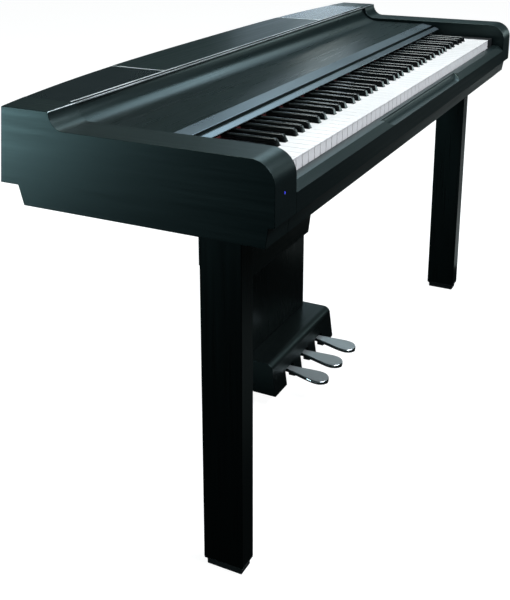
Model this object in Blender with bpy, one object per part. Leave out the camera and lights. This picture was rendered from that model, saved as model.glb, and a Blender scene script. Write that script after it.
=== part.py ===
"""Digital piano on a stand: 88 keys, a sliding key cover, two post legs and a hanging three-pedal unit.

Units are metres and +Z is up. X runs to the player's right, and the player sits on the -Y side.
The origin is on the floor, under the middle of the object's box.

Most sections are drawn as (depth, height) pairs in the keyboard's own datum: depth runs back from the
white keys' front edge and height runs up from their tops. The function world() turns them into Y and Z.
"""

import math

import bmesh
import bpy
from mathutils import Vector

# ---------------------------------------------------------------- driving dimensions
KEY_TOP_HEIGHT = 0.703          # white key tops above the floor
HALF_WIDTH = 0.726              # centre to the outer face of a cheek
CHEEK_WIDTH = 0.072
FRONT_DEPTH = -0.030            # front face of cheeks and key slip
REAR_DEPTH = 0.4475             # lower rear edge at the cheeks
REAR_LEAN = 0.0115              # how much further forward the rear face is at the top
REAR_BOW = 0.045                # how far the rear swells out at the middle
TOP_HEIGHT = 0.0617             # top of the rear housing
FLANK_HEIGHT = -0.0624          # where the front face ends and the underside steps in
BOTTOM_HEIGHT = -0.0945         # underside of the body
GAP = 0.0003                    # clearance between pieces that rest on each other

WHITE_PITCH = 0.0235
OCTAVE = 7 * WHITE_PITCH
WHITE_KEYS = 52
KEY_GAP = 0.001
KEY_THICKNESS = 0.0215
KEY_TAIL_DEPTH = 0.243
KEY_AXIS = (0.235, -0.0240)     # (depth, height) of the rod that the keys rock on
ROD_RADIUS = 0.0022
BLACK_SLOT = 0.0147             # width cut from the white keys for a black key
BLACK_WIDTH = 0.0124
BLACK_TOP_WIDTH = 0.0094
BLACK_FRONT_DEPTH = 0.0495
BLACK_END_DEPTH = 0.147
BLACK_HEIGHT = 0.0115
BLACK_CENTRES = {"c_sharp": 0.02115, "d_sharp": 0.04935, "f_sharp": 0.09064,
                 "g_sharp": 0.11750, "a_sharp": 0.14436}
WHITE_ORDER = ("c", "d", "e", "f", "g", "a", "b")

DECK_HEIGHT = 0.0258
DECK_FRONT = 0.158
COVER_UNDER = 0.0136
COVER_TOP = 0.0197

GRILLE_INNER = 0.370            # centre to the inner edge of a speaker grille
DIVIDER_WIDTH = 0.003
RAIL_BACK = 0.3703              # rear edge of the channel rail on top

LEG_OUTER = 0.6615
LEG_WIDTH = 0.039
LEG_FRONT = 0.054
LEG_BACK = 0.126
FOOT_HEIGHT = 0.015
FOOT_INSET = 0.004

PEDAL_PITCH = 0.0825
PEDAL_LEVER_HALF = 0.0105
PEDAL_ROOT = 0.300              # depth of the pedals' rear ends
PADDLE_HALF = 0.0240
PADDLE_TIP = 0.140
PADDLE_CENTRE = PADDLE_TIP + 0.0225
PEDAL_BOX_HALF = 0.164
PEDAL_BOX_FRONT = 0.235
PEDAL_BOX_LEAN = 0.008           # how much further forward the front's lower edge is than its upper one
PEDAL_BOX_BACK = 0.345
PEDAL_BOX_TOP = -0.600
PEDAL_BOX_BOTTOM = -0.675
PEDAL_BOX_WALL = 0.008
PEDAL_NOTCH_WIDTH = 0.042
PEDAL_NOTCH_TOP = -0.640
PEDAL_AXIS = (0.288, -0.6558)   # (depth, height) of the pedal rod
PEDAL_ROD_RADIUS = 0.004
COLUMN_HALF = 0.150
COLUMN_FRONT = 0.300
COLUMN_BACK = 0.325
COLUMN_TOP = -0.420
HEAD_FRONT = 0.297
HEAD_BACK = 0.328
HEAD_SLOPE = 0.34               # how fast the head widens with height

# ---------------------------------------------------------------- derived values
BAY_HALF = HALF_WIDTH - CHEEK_WIDTH           # inner face of a cheek
FIT_HALF = BAY_HALF - GAP                     # end of a board that fits between the cheeks
DEPTH_MIDDLE = (FRONT_DEPTH + REAR_DEPTH + REAR_BOW) / 2
KEYBOARD_LEFT = -WHITE_KEYS * WHITE_PITCH / 2
FIRST_C = KEYBOARD_LEFT + 2 * WHITE_PITCH     # left edge of the lowest C
KEYBOARD_HALF = -KEYBOARD_LEFT
FLOOR = -KEY_TOP_HEIGHT                       # the floor, as a height in the keyboard's datum

COLOURS = {                                   # colour, roughness, metallic
    "case_laminate": ((0.014, 0.019, 0.020), 0.42, 0.0),
    "top_laminate": ((0.012, 0.016, 0.017), 0.34, 0.0),
    "stand_black": ((0.006, 0.007, 0.008), 0.45, 0.0),
    "grille_mesh": ((0.020, 0.022, 0.024), 0.55, 0.6),
    "trim_silver": ((0.60, 0.62, 0.64), 0.30, 1.0),
    "cover_black": ((0.016, 0.021, 0.023), 0.38, 0.0),
    "ivory_plastic": ((0.90, 0.90, 0.90), 0.25, 0.0),
    "ebony_plastic": ((0.008, 0.008, 0.009), 0.22, 0.0),
    "red_felt": ((0.32, 0.02, 0.02), 0.95, 0.0),
    "plain_steel": ((0.45, 0.46, 0.48), 0.40, 1.0),
    "pedal_chrome": ((0.62, 0.64, 0.66), 0.18, 1.0),
    "circuit_board": ((0.02, 0.12, 0.05), 0.50, 0.0),
    "speaker_paper": ((0.015, 0.015, 0.015), 0.90, 0.0),
    "black_plastic": ((0.010, 0.010, 0.011), 0.50, 0.0),
    "led_lens": ((0.10, 0.12, 0.90), 0.20, 0.0),
    "black_rubber": ((0.012, 0.012, 0.012), 0.90, 0.0),
}


# ---------------------------------------------------------------- helpers
def world(depth, height):
    """Y and Z of a (depth, height) pair."""
    return depth - DEPTH_MIDDLE, height + KEY_TOP_HEIGHT


def bow(x):
    """How far the rear swells out at x."""
    return REAR_BOW * (1 - abs(x / HALF_WIDTH) ** 3)


def clear_scene():
    for obj in list(bpy.data.objects):
        bpy.data.objects.remove(obj, do_unlink=True)


def material(name):
    found = bpy.data.materials.get(name)
    if found:
        return found
    colour, roughness, metallic = COLOURS[name]
    made = bpy.data.materials.new(name)
    made.use_nodes = True
    shader = made.node_tree.nodes["Principled BSDF"]
    shader.inputs["Base Color"].default_value = (*colour, 1.0)
    shader.inputs["Roughness"].default_value = roughness
    shader.inputs["Metallic"].default_value = metallic
    return made


def finish(name, bm, surface, origin=(0.0, 0.0, 0.0), smooth=False):
    """Turns bm, drawn in world coordinates, into an object whose own origin is at origin."""
    bmesh.ops.recalc_face_normals(bm, faces=bm.faces)
    bmesh.ops.translate(bm, verts=bm.verts, vec=-Vector(origin))
    mesh = bpy.data.meshes.new(name)
    bm.to_mesh(mesh)
    bm.free()
    if smooth:
        mesh.shade_smooth()
        mesh.set_sharp_from_angle(angle=math.radians(30))
    obj = bpy.data.objects.new(name, mesh)
    mesh.materials.append(material(surface))
    obj.location = Vector(origin)
    bpy.context.collection.objects.link(obj)
    return obj


def add_loops(bm, loops):
    """Skins a row of equal closed loops and caps both ends."""
    rings = [[bm.verts.new(point) for point in loop] for loop in loops]
    for first, second in zip(rings, rings[1:]):
        for i in range(len(first)):
            j = (i + 1) % len(first)
            bm.faces.new((first[i], first[j], second[j], second[i]))
    bm.faces.new(rings[0])
    bm.faces.new(list(reversed(rings[-1])))


def add_section(bm, section, x_start, x_end):
    """Extrudes a (depth, height) section along X."""
    loops = []
    for x in (x_start, x_end):
        loops.append([(x, *world(depth, height)) for depth, height in section])
    add_loops(bm, loops)


def add_box(bm, x_range, depth_range, height_range):
    low, high = height_range
    section = ((depth_range[0], low), (depth_range[1], low), (depth_range[1], high), (depth_range[0], high))
    add_section(bm, section, *x_range)


def add_plan(bm, outline, height_range):
    """Extrudes an (x, depth) outline upwards."""
    loops = []
    for height in height_range:
        loops.append([(x, *world(depth, height)) for x, depth in outline])
    add_loops(bm, loops)


def add_turned(bm, centre, profile, axis="Z", sides=24, stretch=1.0):
    """Turns a (radius, distance) profile round an axis, with a flat disc at each end; stretch widens it in X."""
    rings = []
    for radius, distance in profile:
        ring = []
        for i in range(sides):
            angle = 2 * math.pi * i / sides
            across = radius * math.cos(angle)
            along = radius * math.sin(angle)
            if axis == "Z":
                offset = (across * stretch, along, distance)
            elif axis == "Y":
                offset = (across * stretch, distance, along)
            else:
                offset = (distance, across, along)
            ring.append(tuple(c + o for c, o in zip(centre, offset)))
        rings.append(ring)
    add_loops(bm, rings)


def add_rod_x(bm, depth, height, radius, x_start, x_end, sides=16):
    y, z = world(depth, height)
    add_turned(bm, (0.0, y, z), ((radius, x_start), (radius, x_end)), axis="X", sides=sides)


def plain(name, surface, draw, *args, origin=(0.0, 0.0, 0.0), smooth=False):
    """Makes an object from one drawing call."""
    bm = bmesh.new()
    draw(bm, *args)
    return finish(name, bm, surface, origin, smooth)


def combine(obj, name, operation, draw, *args):
    """Adds or takes away a shape with a Boolean that stays on obj."""
    bm = bmesh.new()
    draw(bm, *args)
    helper = finish(name, bm, "black_plastic")
    helper.hide_render = True
    helper.display_type = "WIRE"
    modifier = obj.modifiers.new(name, "BOOLEAN")
    modifier.operation = operation
    modifier.solver = "EXACT"
    modifier.object = helper


def cut(obj, name, draw, *args):
    combine(obj, name, "DIFFERENCE", draw, *args)


def join(obj, name, draw, *args):
    combine(obj, name, "UNION", draw, *args)


def soften(obj, width, angle=40.0):
    """A small one-step bevel along the sharp edges."""
    modifier = obj.modifiers.new("soft_edges", "BEVEL")
    modifier.width = width
    modifier.segments = 1
    modifier.limit_method = "ANGLE"
    modifier.angle_limit = math.radians(angle)


def quarter(centre, radii, start, end, steps):
    """Points of an elliptical arc in the section plane, angles in degrees from the depth axis."""
    points = []
    for i in range(steps + 1):
        angle = math.radians(start + (end - start) * i / steps)
        points.append((centre[0] + radii[0] * math.cos(angle), centre[1] + radii[1] * math.sin(angle)))
    return points


# ---------------------------------------------------------------- case
def cheek_section(x):
    """Outline of a cheek at x, from the lower front edge round to the rear ledge."""
    swell = bow(x) - bow(HALF_WIDTH)
    front = [(-0.0155, BOTTOM_HEIGHT), (-0.0202, -0.0642), (FRONT_DEPTH, FLANK_HEIGHT)]
    corner = quarter((0.008, -0.0045), (0.038, 0.037), 180, 90, 8)
    cove = quarter((0.320, TOP_HEIGHT), (0.026, 0.0281), -90, 0, 6)
    rear_top = REAR_DEPTH - REAR_LEAN + swell
    rear = [(rear_top, TOP_HEIGHT), (REAR_DEPTH + swell, -0.0622), (0.413, -0.0622), (0.4037, BOTTOM_HEIGHT)]
    return front + corner + cove + rear


def make_cheeks():
    for side, sign in (("left", -1), ("right", 1)):
        bm = bmesh.new()
        loops = []
        for share in (0.0, 0.33, 0.67, 1.0):
            x = sign * (HALF_WIDTH - share * CHEEK_WIDTH)
            loops.append([(x, *world(depth, height)) for depth, height in cheek_section(x)])
        add_loops(bm, loops)
        centre = (sign * (HALF_WIDTH - CHEEK_WIDTH / 2), 0.0, KEY_TOP_HEIGHT)
        cheek = finish(f"{side}_cheek", bm, "case_laminate", origin=centre)
        if side == "left":
            cut_led_pocket(cheek)


LED_X, LED_HEIGHT, LED_RADIUS, LED_DEEP = -0.6937, -0.0200, 0.0020, 0.005


def led_shape(bm, radius, front, back):
    y_front, z = world(front, LED_HEIGHT)
    y_back, _ = world(back, LED_HEIGHT)
    add_turned(bm, (LED_X, 0.0, z), ((radius, y_front), (radius, y_back)), axis="Y", sides=16)


def cut_led_pocket(cheek):
    cut(cheek, "led_pocket_cutter", led_shape, LED_RADIUS + GAP, FRONT_DEPTH - 0.002, FRONT_DEPTH + LED_DEEP)


def make_led():
    plain("power_led", "led_lens", led_shape, LED_RADIUS, FRONT_DEPTH, FRONT_DEPTH + LED_DEEP - GAP, smooth=True)


SLIP_BACK = -0.003


def make_key_slip():
    section = ((SLIP_BACK, BOTTOM_HEIGHT), (SLIP_BACK, -0.0185), (-0.019, -0.0200), (FRONT_DEPTH, -0.0312),
               (FRONT_DEPTH, FLANK_HEIGHT), (-0.0202, -0.0642), (-0.0155, BOTTOM_HEIGHT))
    slip = plain("key_slip", "case_laminate", add_section, section, -FIT_HALF, FIT_HALF)
    cut(slip, "grip_cutter", grip_shape)


GRIP_LONG_HALF, GRIP_SHORT_HALF = 0.247, 0.214   # half lengths of the grip's upper and lower edges
GRIP_LIP = (-0.0112, -0.0193)                    # upper edge of the grip, on the ledge before the keys
GRIP_CENTRE, GRIP_RADII = (-0.0302, -0.0193), (0.0190, 0.0121)


def grip_shape(bm):
    """The scoop that fingers go into: a hollow quarter round that runs out to a point at each end."""
    floor = quarter(GRIP_CENTRE, GRIP_RADII, 0, -90, 6)
    above = -0.0150
    section = floor + [(-0.0400, floor[-1][1]), (-0.0400, above), (GRIP_LIP[0], above)]
    loops = []
    for x, size in ((-GRIP_LONG_HALF, 0.04), (-GRIP_SHORT_HALF, 1.0), (GRIP_SHORT_HALF, 1.0),
                    (GRIP_LONG_HALF, 0.04)):
        loops.append([(x, *world(*(lip + (value - lip) * size for value, lip in zip(point, GRIP_LIP))))
                      for point in section])
    add_loops(bm, loops)


BASE_THICK = 0.016
BASE_TOP = BOTTOM_HEIGHT + BASE_THICK
REAR_SEAM = 0.4127                            # where the base's rear wall meets the rear panel


def make_base():
    section = ((SLIP_BACK + GAP, BOTTOM_HEIGHT), (0.4034, BOTTOM_HEIGHT), (REAR_SEAM, -0.0622),
               (REAR_SEAM - 0.013, -0.0622), (0.392, BASE_TOP), (SLIP_BACK + GAP, BASE_TOP))
    plain("base_board", "stand_black", add_section, section, -FIT_HALF, FIT_HALF)


PANEL_UNDER = 0.0477                          # underside of the boards on top of the rear housing
REAR_WALL = 0.012
JACK_HALF, JACK_LOW, JACK_HIGH = 0.170, -0.048, 0.008


def make_rear_panel():
    """An L-shaped bowed shell: the rear wall with a short floor in front of it."""
    bm = bmesh.new()
    loops = []
    stations = 16
    for i in range(stations + 1):
        x = -FIT_HALF + 2 * FIT_HALF * i / stations
        swell = bow(x)
        lean = REAR_LEAN * (PANEL_UNDER + 0.0622) / (TOP_HEIGHT + 0.0622)
        top_outer = REAR_DEPTH + swell - lean
        section = ((REAR_SEAM + GAP, -0.0622), (REAR_DEPTH + swell, -0.0622), (top_outer, PANEL_UNDER - GAP),
                   (top_outer - REAR_WALL, PANEL_UNDER - GAP), (REAR_DEPTH + swell - REAR_WALL - 0.001, -0.0522),
                   (REAR_SEAM + GAP, -0.0522))
        loops.append([(x, *world(depth, height)) for depth, height in section])
    add_loops(bm, loops)
    panel = finish("rear_panel", bm, "case_laminate")
    cut(panel, "jack_opening_cutter", add_box, (-JACK_HALF, JACK_HALF), (0.455, 0.520), (JACK_LOW, JACK_HIGH))


SOCKETS = ((-0.055, 0.0085), (-0.030, 0.0085), (0.005, 0.0055), (0.030, 0.0055), (0.062, 0.0065), (0.090, 0.0065))
PLATE_BACK = 0.4785


def socket_collars(bm, middle):
    """Round collars that stand out of the socket plate, each with a blind hole."""
    for x, radius in SOCKETS:
        bore = radius * 0.55
        profile = ((radius, -0.001), (radius, 0.004), (bore, 0.004), (bore, 0.0005))
        y, z = world(PLATE_BACK, middle)
        add_turned(bm, (x, y, z), profile, axis="Y", sides=16)


def make_jack_panel():
    """A recessed plate with sockets, set in the rear panel's opening, and the mains inlet beside them."""
    half, low, high = JACK_HALF - GAP, JACK_LOW + GAP, JACK_HIGH - GAP
    middle = (low + high) / 2
    plate = plain("jack_panel", "black_plastic", add_box, (-half, half), (PLATE_BACK - 0.002, PLATE_BACK),
                  (low, high))
    join(plate, "socket_collars", socket_collars, middle)
    inlet = plain("mains_inlet", "black_plastic", add_box, (-0.146, -0.116), (PLATE_BACK + GAP, PLATE_BACK + 0.0055),
                  (middle - 0.012, middle + 0.012))
    cut(inlet, "inlet_cutter", add_box, (-0.1435, -0.1185), (PLATE_BACK + 0.002, PLATE_BACK + 0.010),
        (middle - 0.0095, middle + 0.0095))


def top_outline(x_start, x_end, steps):
    """Plan of a board on top of the rear housing: straight in front, bowed at the rear."""
    outline = [(x_start, RAIL_BACK + GAP), (x_end, RAIL_BACK + GAP)]
    for i in range(steps + 1):
        x = x_end + (x_start - x_end) * i / steps
        outline.append((x, REAR_DEPTH - REAR_LEAN + bow(x)))
    return outline


def make_top():
    """Grilles, plain centre panel and dividers, all on one full-width board with two speaker holes."""
    top = TOP_HEIGHT
    skin_under = top - 0.004
    board = plain("speaker_board", "stand_black", add_plan, top_outline(-FIT_HALF, FIT_HALF, 16),
                  (PANEL_UNDER, skin_under - GAP))
    inner = GRILLE_INNER - DIVIDER_WIDTH
    plain("top_panel", "top_laminate", add_plan, top_outline(-inner + GAP, inner - GAP, 10), (skin_under, top))
    for side, sign in (("left", -1), ("right", 1)):
        start, end = sorted((sign * (GRILLE_INNER + GAP), sign * FIT_HALF))
        plain(f"{side}_speaker_grille", "grille_mesh", add_plan, top_outline(start, end, 6), (skin_under, top))
        hole = ((SPEAKER_RADIUS, PANEL_UNDER - 0.01), (SPEAKER_RADIUS, top + 0.01))
        centre = (sign * SPEAKER_X, world(SPEAKER_DEPTH, 0)[0], KEY_TOP_HEIGHT)
        cut(board, f"{side}_speaker_cutter", add_turned, centre, hole, "Z", 24, SPEAKER_STRETCH)
        x_range = sorted((sign * inner, sign * GRILLE_INNER))
        rear = REAR_DEPTH - REAR_LEAN + bow(GRILLE_INNER) - 0.001
        plain(f"{side}_divider", "trim_silver", add_box, x_range, (RAIL_BACK + GAP, rear), (skin_under, top))
    section = ((0.3465, 0.0580), (RAIL_BACK, 0.0580), (RAIL_BACK, top), (0.3668, top), (0.3662, 0.0592),
               (0.3522, 0.0592), (0.3516, top), (0.3468, top), (0.3465, top - 0.0006))
    plain("rest_channel_rail", "trim_silver", add_section, section, -FIT_HALF, FIT_HALF)


SPEAKER_X, SPEAKER_DEPTH, SPEAKER_RADIUS, SPEAKER_STRETCH = 0.512, 0.415, 0.031, 1.6


def make_speakers():
    """Oval full-range drivers that hang under the baffles, cone, basket and magnet in one."""
    rim = SPEAKER_RADIUS + 0.005
    profile = ((0.019, -0.030), (0.019, -0.018), (0.022, -0.018), (rim, -0.003), (rim, 0.0), (0.030, 0.0),
               (0.027, -0.001), (0.008, -0.010))
    for side, sign in (("left", -1), ("right", 1)):
        centre = (sign * SPEAKER_X, *world(SPEAKER_DEPTH, PANEL_UNDER - GAP))
        plain(f"{side}_speaker", "speaker_paper", add_turned, centre, profile, "Z", 20, SPEAKER_STRETCH,
              origin=centre, smooth=True)


def make_deck():
    """The broad panel behind the keys, which turns up into a cove at its rear."""
    cove_centre = (0.306, 0.0577)
    cove = quarter(cove_centre, (0.046, 0.0577 - DECK_HEIGHT), -90, 0, 8)
    under = quarter(cove_centre, (0.0515, 0.0577 - 0.0206), 0, -90, 8)
    section = [(DECK_FRONT, 0.0208), (0.176, 0.0250)] + cove + under + [(DECK_FRONT + 0.001, 0.0206)]
    plain("deck_panel", "top_laminate", add_section, section, -FIT_HALF, FIT_HALF, smooth=True)


# ---------------------------------------------------------------- key cover
COVER_BACK = 0.333


def make_key_cover():
    """A flat panel that slides forward over the keys, with a slanted lip along its front."""
    section = ((0.1385, COVER_UNDER), (0.1490, 0.0200), (0.1535, 0.0200), (0.1550, COVER_TOP),
               (COVER_BACK, COVER_TOP), (COVER_BACK, COVER_TOP - 0.004), (0.156, COVER_TOP - 0.004),
               (0.154, COVER_UNDER))
    half = FIT_HALF - 0.0060
    origin = (0.0, *world(0.1385, COVER_UNDER))
    plain("key_cover", "cover_black", add_section, section, -half, half, origin=origin)
    floor = COVER_TOP - 0.004 - GAP
    plain("cover_tray", "plain_steel", add_box, (-FIT_HALF, FIT_HALF), (0.1650, 0.3380), (floor - 0.0020, floor))


def make_felt():
    rail = ((0.1565, 0.0012), (0.1640, 0.0012), (0.1640, 0.0110), (0.1565, 0.0110))
    half = FIT_HALF
    plain("felt_rail", "plain_steel", add_section, rail, -half, half)
    plain("felt_strip", "red_felt", add_box, (-KEYBOARD_HALF, KEYBOARD_HALF), (0.1485, 0.1562), (0.0012, 0.0100))


# ---------------------------------------------------------------- keyboard
def white_outline(left, note, cut_left, cut_right):
    """Plan of a white key from its left edge: full width in front, narrower beside the black keys."""
    start = left + KEY_GAP / 2
    end = left + WHITE_PITCH - KEY_GAP / 2
    octave_left = left - WHITE_ORDER.index(note) * WHITE_PITCH
    tail_start, tail_end = start, end
    for centre in BLACK_CENTRES.values():
        low = octave_left + centre - BLACK_SLOT / 2
        high = octave_left + centre + BLACK_SLOT / 2
        if cut_left and low < start < high:
            tail_start = high
        if cut_right and low < end < high:
            tail_end = low
    shoulder = BLACK_FRONT_DEPTH - 0.0012
    outline = [(start, 0.0), (end, 0.0)]
    if tail_end < end:
        outline += [(end, shoulder), (tail_end, shoulder)]
    outline += [(tail_end, KEY_TAIL_DEPTH), (tail_start, KEY_TAIL_DEPTH)]
    if tail_start > start:
        outline += [(tail_start, shoulder), (start, shoulder)]
    return outline


def add_white(bm, left, note, cut_left=True, cut_right=True):
    add_plan(bm, white_outline(left, note, cut_left, cut_right), (-KEY_THICKNESS, 0.0))


def add_black(bm, centre, foot=False):
    """A tapered black key: its body stands in the slot and its upper part slopes back in front."""
    low, body_top = -KEY_THICKNESS, 0.0
    wide, narrow = BLACK_WIDTH / 2, BLACK_TOP_WIDTH / 2
    front, end, tail = BLACK_FRONT_DEPTH, BLACK_END_DEPTH, 0.2375
    lower = [(front, low)]
    if foot:
        lower += [(0.2262, low), (0.2262, -0.0240), (0.2313, -0.0240), (0.2313, low)]
    lower += [(tail, low), (tail, body_top), (end, body_top), (front, body_top)]
    verts = {}
    for side, sign in (("left", -1), ("right", 1)):
        verts[side] = [bm.verts.new((centre + sign * wide, *world(*place))) for place in lower]
        for place in ((front + 0.0050, BLACK_HEIGHT), (end, BLACK_HEIGHT)):
            verts[side].append(bm.verts.new((centre + sign * narrow, *world(*place))))
    count = len(lower)
    last, slope_front, slope_end = count - 1, count, count + 1
    for side in verts.values():
        bm.faces.new(side[:count])
        bm.faces.new((side[last], side[last - 1], side[slope_end], side[slope_front]))
    ridge = list(range(count - 1)) + [slope_end, slope_front, last]
    for first, second in zip(ridge, ridge[1:] + ridge[:1]):
        left, right = verts["left"], verts["right"]
        bm.faces.new((left[first], left[second], right[second], right[first]))


def octave_left(number):
    """Left edge of the C that starts this octave."""
    return FIRST_C + (number - 1) * OCTAVE


def in_range(number, note):
    """Whether a note of this octave is on the keyboard, which runs from A0 to C8."""
    if number == 0:
        return note in ("a", "b", "a_sharp")
    return number < 8 or note == "c"


def draw_white_group(bm, octaves):
    for number in octaves:
        for index, note in enumerate(WHITE_ORDER):
            if in_range(number, note):
                left = octave_left(number) + index * WHITE_PITCH
                add_white(bm, left, note, cut_left=(number, note) != (0, "a"), cut_right=number < 8)


def draw_black_group(bm, octaves):
    for number in octaves:
        for note, offset in BLACK_CENTRES.items():
            if in_range(number, note):
                add_black(bm, octave_left(number) + offset, foot=True)


def make_keys():
    """The middle octave is twelve separate keys; below and above it, one bar joins each colour's keys."""
    pivot = world(*KEY_AXIS)
    middle = octave_left(4)
    for index, note in enumerate(WHITE_ORDER):
        left = middle + index * WHITE_PITCH
        plain(f"key_{note}4", "ivory_plastic", add_white, left, note, origin=(left + WHITE_PITCH / 2, *pivot))
    for note, offset in BLACK_CENTRES.items():
        centre = middle + offset
        plain(f"key_{note}4", "ebony_plastic", add_black, centre, origin=(centre, *pivot))
    key_half = WHITE_PITCH / 2
    groups = (("low", (0, 1, 2, 3), KEYBOARD_LEFT + key_half, middle - key_half),
              ("high", (5, 6, 7, 8), octave_left(5) + key_half, KEYBOARD_HALF - key_half))
    for label, octaves, start, end in groups:
        origin = ((start + end) / 2, *pivot)
        whites = plain(f"white_keys_{label}", "ivory_plastic", add_box, (start, end), (0.2395, 0.2470),
                       (-0.0170, -0.0030), origin=origin)
        join(whites, f"white_levers_{label}", draw_white_group, octaves)
        sharps = [octave_left(n) + BLACK_CENTRES[k] for n in octaves for k in BLACK_CENTRES if in_range(n, k)]
        blacks = plain(f"black_keys_{label}", "ebony_plastic", add_box, (sharps[0], sharps[-1]), (0.2268, 0.2307),
                       (-0.0270, -0.0225), origin=origin)
        join(blacks, f"black_levers_{label}", draw_black_group, octaves)


def make_key_frame():
    """Pressed-steel chassis: a plate with a front rail and a rear rail, and the rod that the keys rock on."""
    plate_low = BASE_TOP + GAP
    rear_top = KEY_AXIS[1] - ROD_RADIUS - GAP
    section = ((0.012, plate_low), (0.252, plate_low), (0.252, rear_top), (0.2335, rear_top),
               (0.2335, plate_low + 0.003),
               (0.046, plate_low + 0.003), (0.046, -0.0400), (0.034, -0.0400), (0.034, plate_low + 0.003),
               (0.012, plate_low + 0.003))
    plain("key_frame", "plain_steel", add_section, section, -0.606, 0.606)
    depth, height = KEY_AXIS
    plain("key_pivot_rod", "plain_steel", add_rod_x, depth, height, ROD_RADIUS, -0.606, 0.606, 12, smooth=True)


END_BLOCK_TOP = -0.0010


def make_end_blocks():
    """Blocks that fill the space between the last keys and the cheeks; the left one carries the controls."""
    start = KEYBOARD_HALF + 0.0008
    for side, sign in (("left", -1), ("right", 1)):
        x_range = sorted((sign * start, sign * FIT_HALF))
        block = plain(f"{side}_end_block", "black_plastic", add_box, x_range, (0.0, 0.1562),
                      (BASE_TOP + GAP, END_BLOCK_TOP))
        if side == "left":
            cut(block, "button_cutter", add_box, BUTTON_X_CUT, BUTTON_DEPTH_CUT, (-0.020, 0.010))
            cut(block, "slider_cutter", add_box, SLOT_X, SLOT_DEPTH, (-0.014, 0.010))


BUTTON_X, BUTTON_HALF, BUTTON_DEPTH = -0.6325, 0.0065, (0.024, 0.036)
BUTTON_X_CUT = (BUTTON_X - BUTTON_HALF - 0.0005, BUTTON_X + BUTTON_HALF + 0.0005)
BUTTON_DEPTH_CUT = (BUTTON_DEPTH[0] - 0.0005, BUTTON_DEPTH[1] + 0.0005)
SLOT_X = (-0.6345, -0.6305)
SLOT_DEPTH = (0.058, 0.104)
SLIDER_REST = 0.071                           # middle of the volume slider's knob


def make_controls():
    """Power button and volume slider, both in the left end block."""
    button_origin = (BUTTON_X, *world(0.030, 0.0022))
    plain("power_button", "black_plastic", add_box, (BUTTON_X - BUTTON_HALF, BUTTON_X + BUTTON_HALF), BUTTON_DEPTH,
          (-0.0120, 0.0022), origin=button_origin)
    bm = bmesh.new()
    stem, cap = 0.0012, 0.0055
    loops = []
    for height, half_x, half_depth in ((-0.0080, stem, 0.003), (-0.0004, stem, 0.003), (-0.0004, cap, 0.004),
                                       (0.0050, cap - 0.001, 0.003)):
        loop = []
        for sx, sd in ((-1, -1), (1, -1), (1, 1), (-1, 1)):
            loop.append((BUTTON_X + sx * half_x, *world(SLIDER_REST + sd * half_depth, height)))
        loops.append(loop)
    add_loops(bm, loops)
    finish("volume_slider", bm, "black_plastic", origin=(BUTTON_X, *world(SLIDER_REST, 0.005)))


# ---------------------------------------------------------------- electronics
def board_posts(bm, floor):
    for x in (-0.182, 0.122):
        for depth in (0.283, 0.377):
            add_turned(bm, (x, *world(depth, floor)), ((0.004, 0.0), (0.004, 0.0108)), sides=10)


def make_electronics():
    """The main board on its four posts, and the power supply's case; both stand on the base board."""
    floor = BASE_TOP + GAP
    board = plain("main_board", "circuit_board", add_box, (-0.190, 0.130), (0.275, 0.385),
                  (floor + 0.0100, floor + 0.0116))
    join(board, "board_posts", board_posts, floor)
    plain("power_supply", "plain_steel", add_box, (-0.420, -0.300), (0.285, 0.375), (floor, floor + 0.045))


# ---------------------------------------------------------------- stand
def make_legs():
    for side, sign in (("left", -1), ("right", 1)):
        x_range = sorted((sign * LEG_OUTER, sign * (LEG_OUTER - LEG_WIDTH)))
        leg_top = BOTTOM_HEIGHT - GAP
        centre = (sign * (LEG_OUTER - LEG_WIDTH / 2), *world((LEG_FRONT + LEG_BACK) / 2, leg_top))
        leg = plain(f"{side}_leg", "stand_black", add_box, x_range, (LEG_FRONT, LEG_BACK),
                    (FLOOR + FOOT_HEIGHT, leg_top), origin=centre)
        soften(leg, 0.0012)
        plain(f"{side}_foot", "black_rubber", add_foot, x_range)


def add_foot(bm, x_range):
    """A foot as wide as the leg on top, stepping in to a smaller base."""
    loops = []
    low, high = x_range
    rises = ((0.0, FOOT_INSET), (0.0085, FOOT_INSET), (0.0125, FOOT_INSET * 0.45), (FOOT_HEIGHT - GAP, 0.0))
    for rise, inset in rises:
        corners = ((low + inset, LEG_FRONT + inset), (high - inset, LEG_FRONT + inset),
                   (high - inset, LEG_BACK - inset), (low + inset, LEG_BACK - inset))
        loops.append([(x, *world(depth, FLOOR + rise)) for x, depth in corners])
    add_loops(bm, loops)


def make_column():
    head_top = BOTTOM_HEIGHT - GAP
    low_half = 0.169
    top_half = low_half + HEAD_SLOPE * (head_top - COLUMN_TOP)
    bm = bmesh.new()
    loops = []
    for depth in (HEAD_FRONT, HEAD_BACK):
        corners = ((-low_half, COLUMN_TOP), (low_half, COLUMN_TOP), (top_half, head_top), (-top_half, head_top))
        loops.append([(x, *world(depth, height)) for x, height in corners])
    add_loops(bm, loops)
    head = finish("column_head", bm, "stand_black", origin=(0.0, *world(HEAD_FRONT, head_top)))
    soften(head, 0.0012)
    column = plain("pedal_column", "stand_black", add_box, (-COLUMN_HALF, COLUMN_HALF), (COLUMN_FRONT, COLUMN_BACK),
                   (PEDAL_BOX_TOP + GAP, COLUMN_TOP - GAP), origin=(0.0, *world(COLUMN_FRONT, COLUMN_TOP)))
    soften(column, 0.0012)


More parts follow.
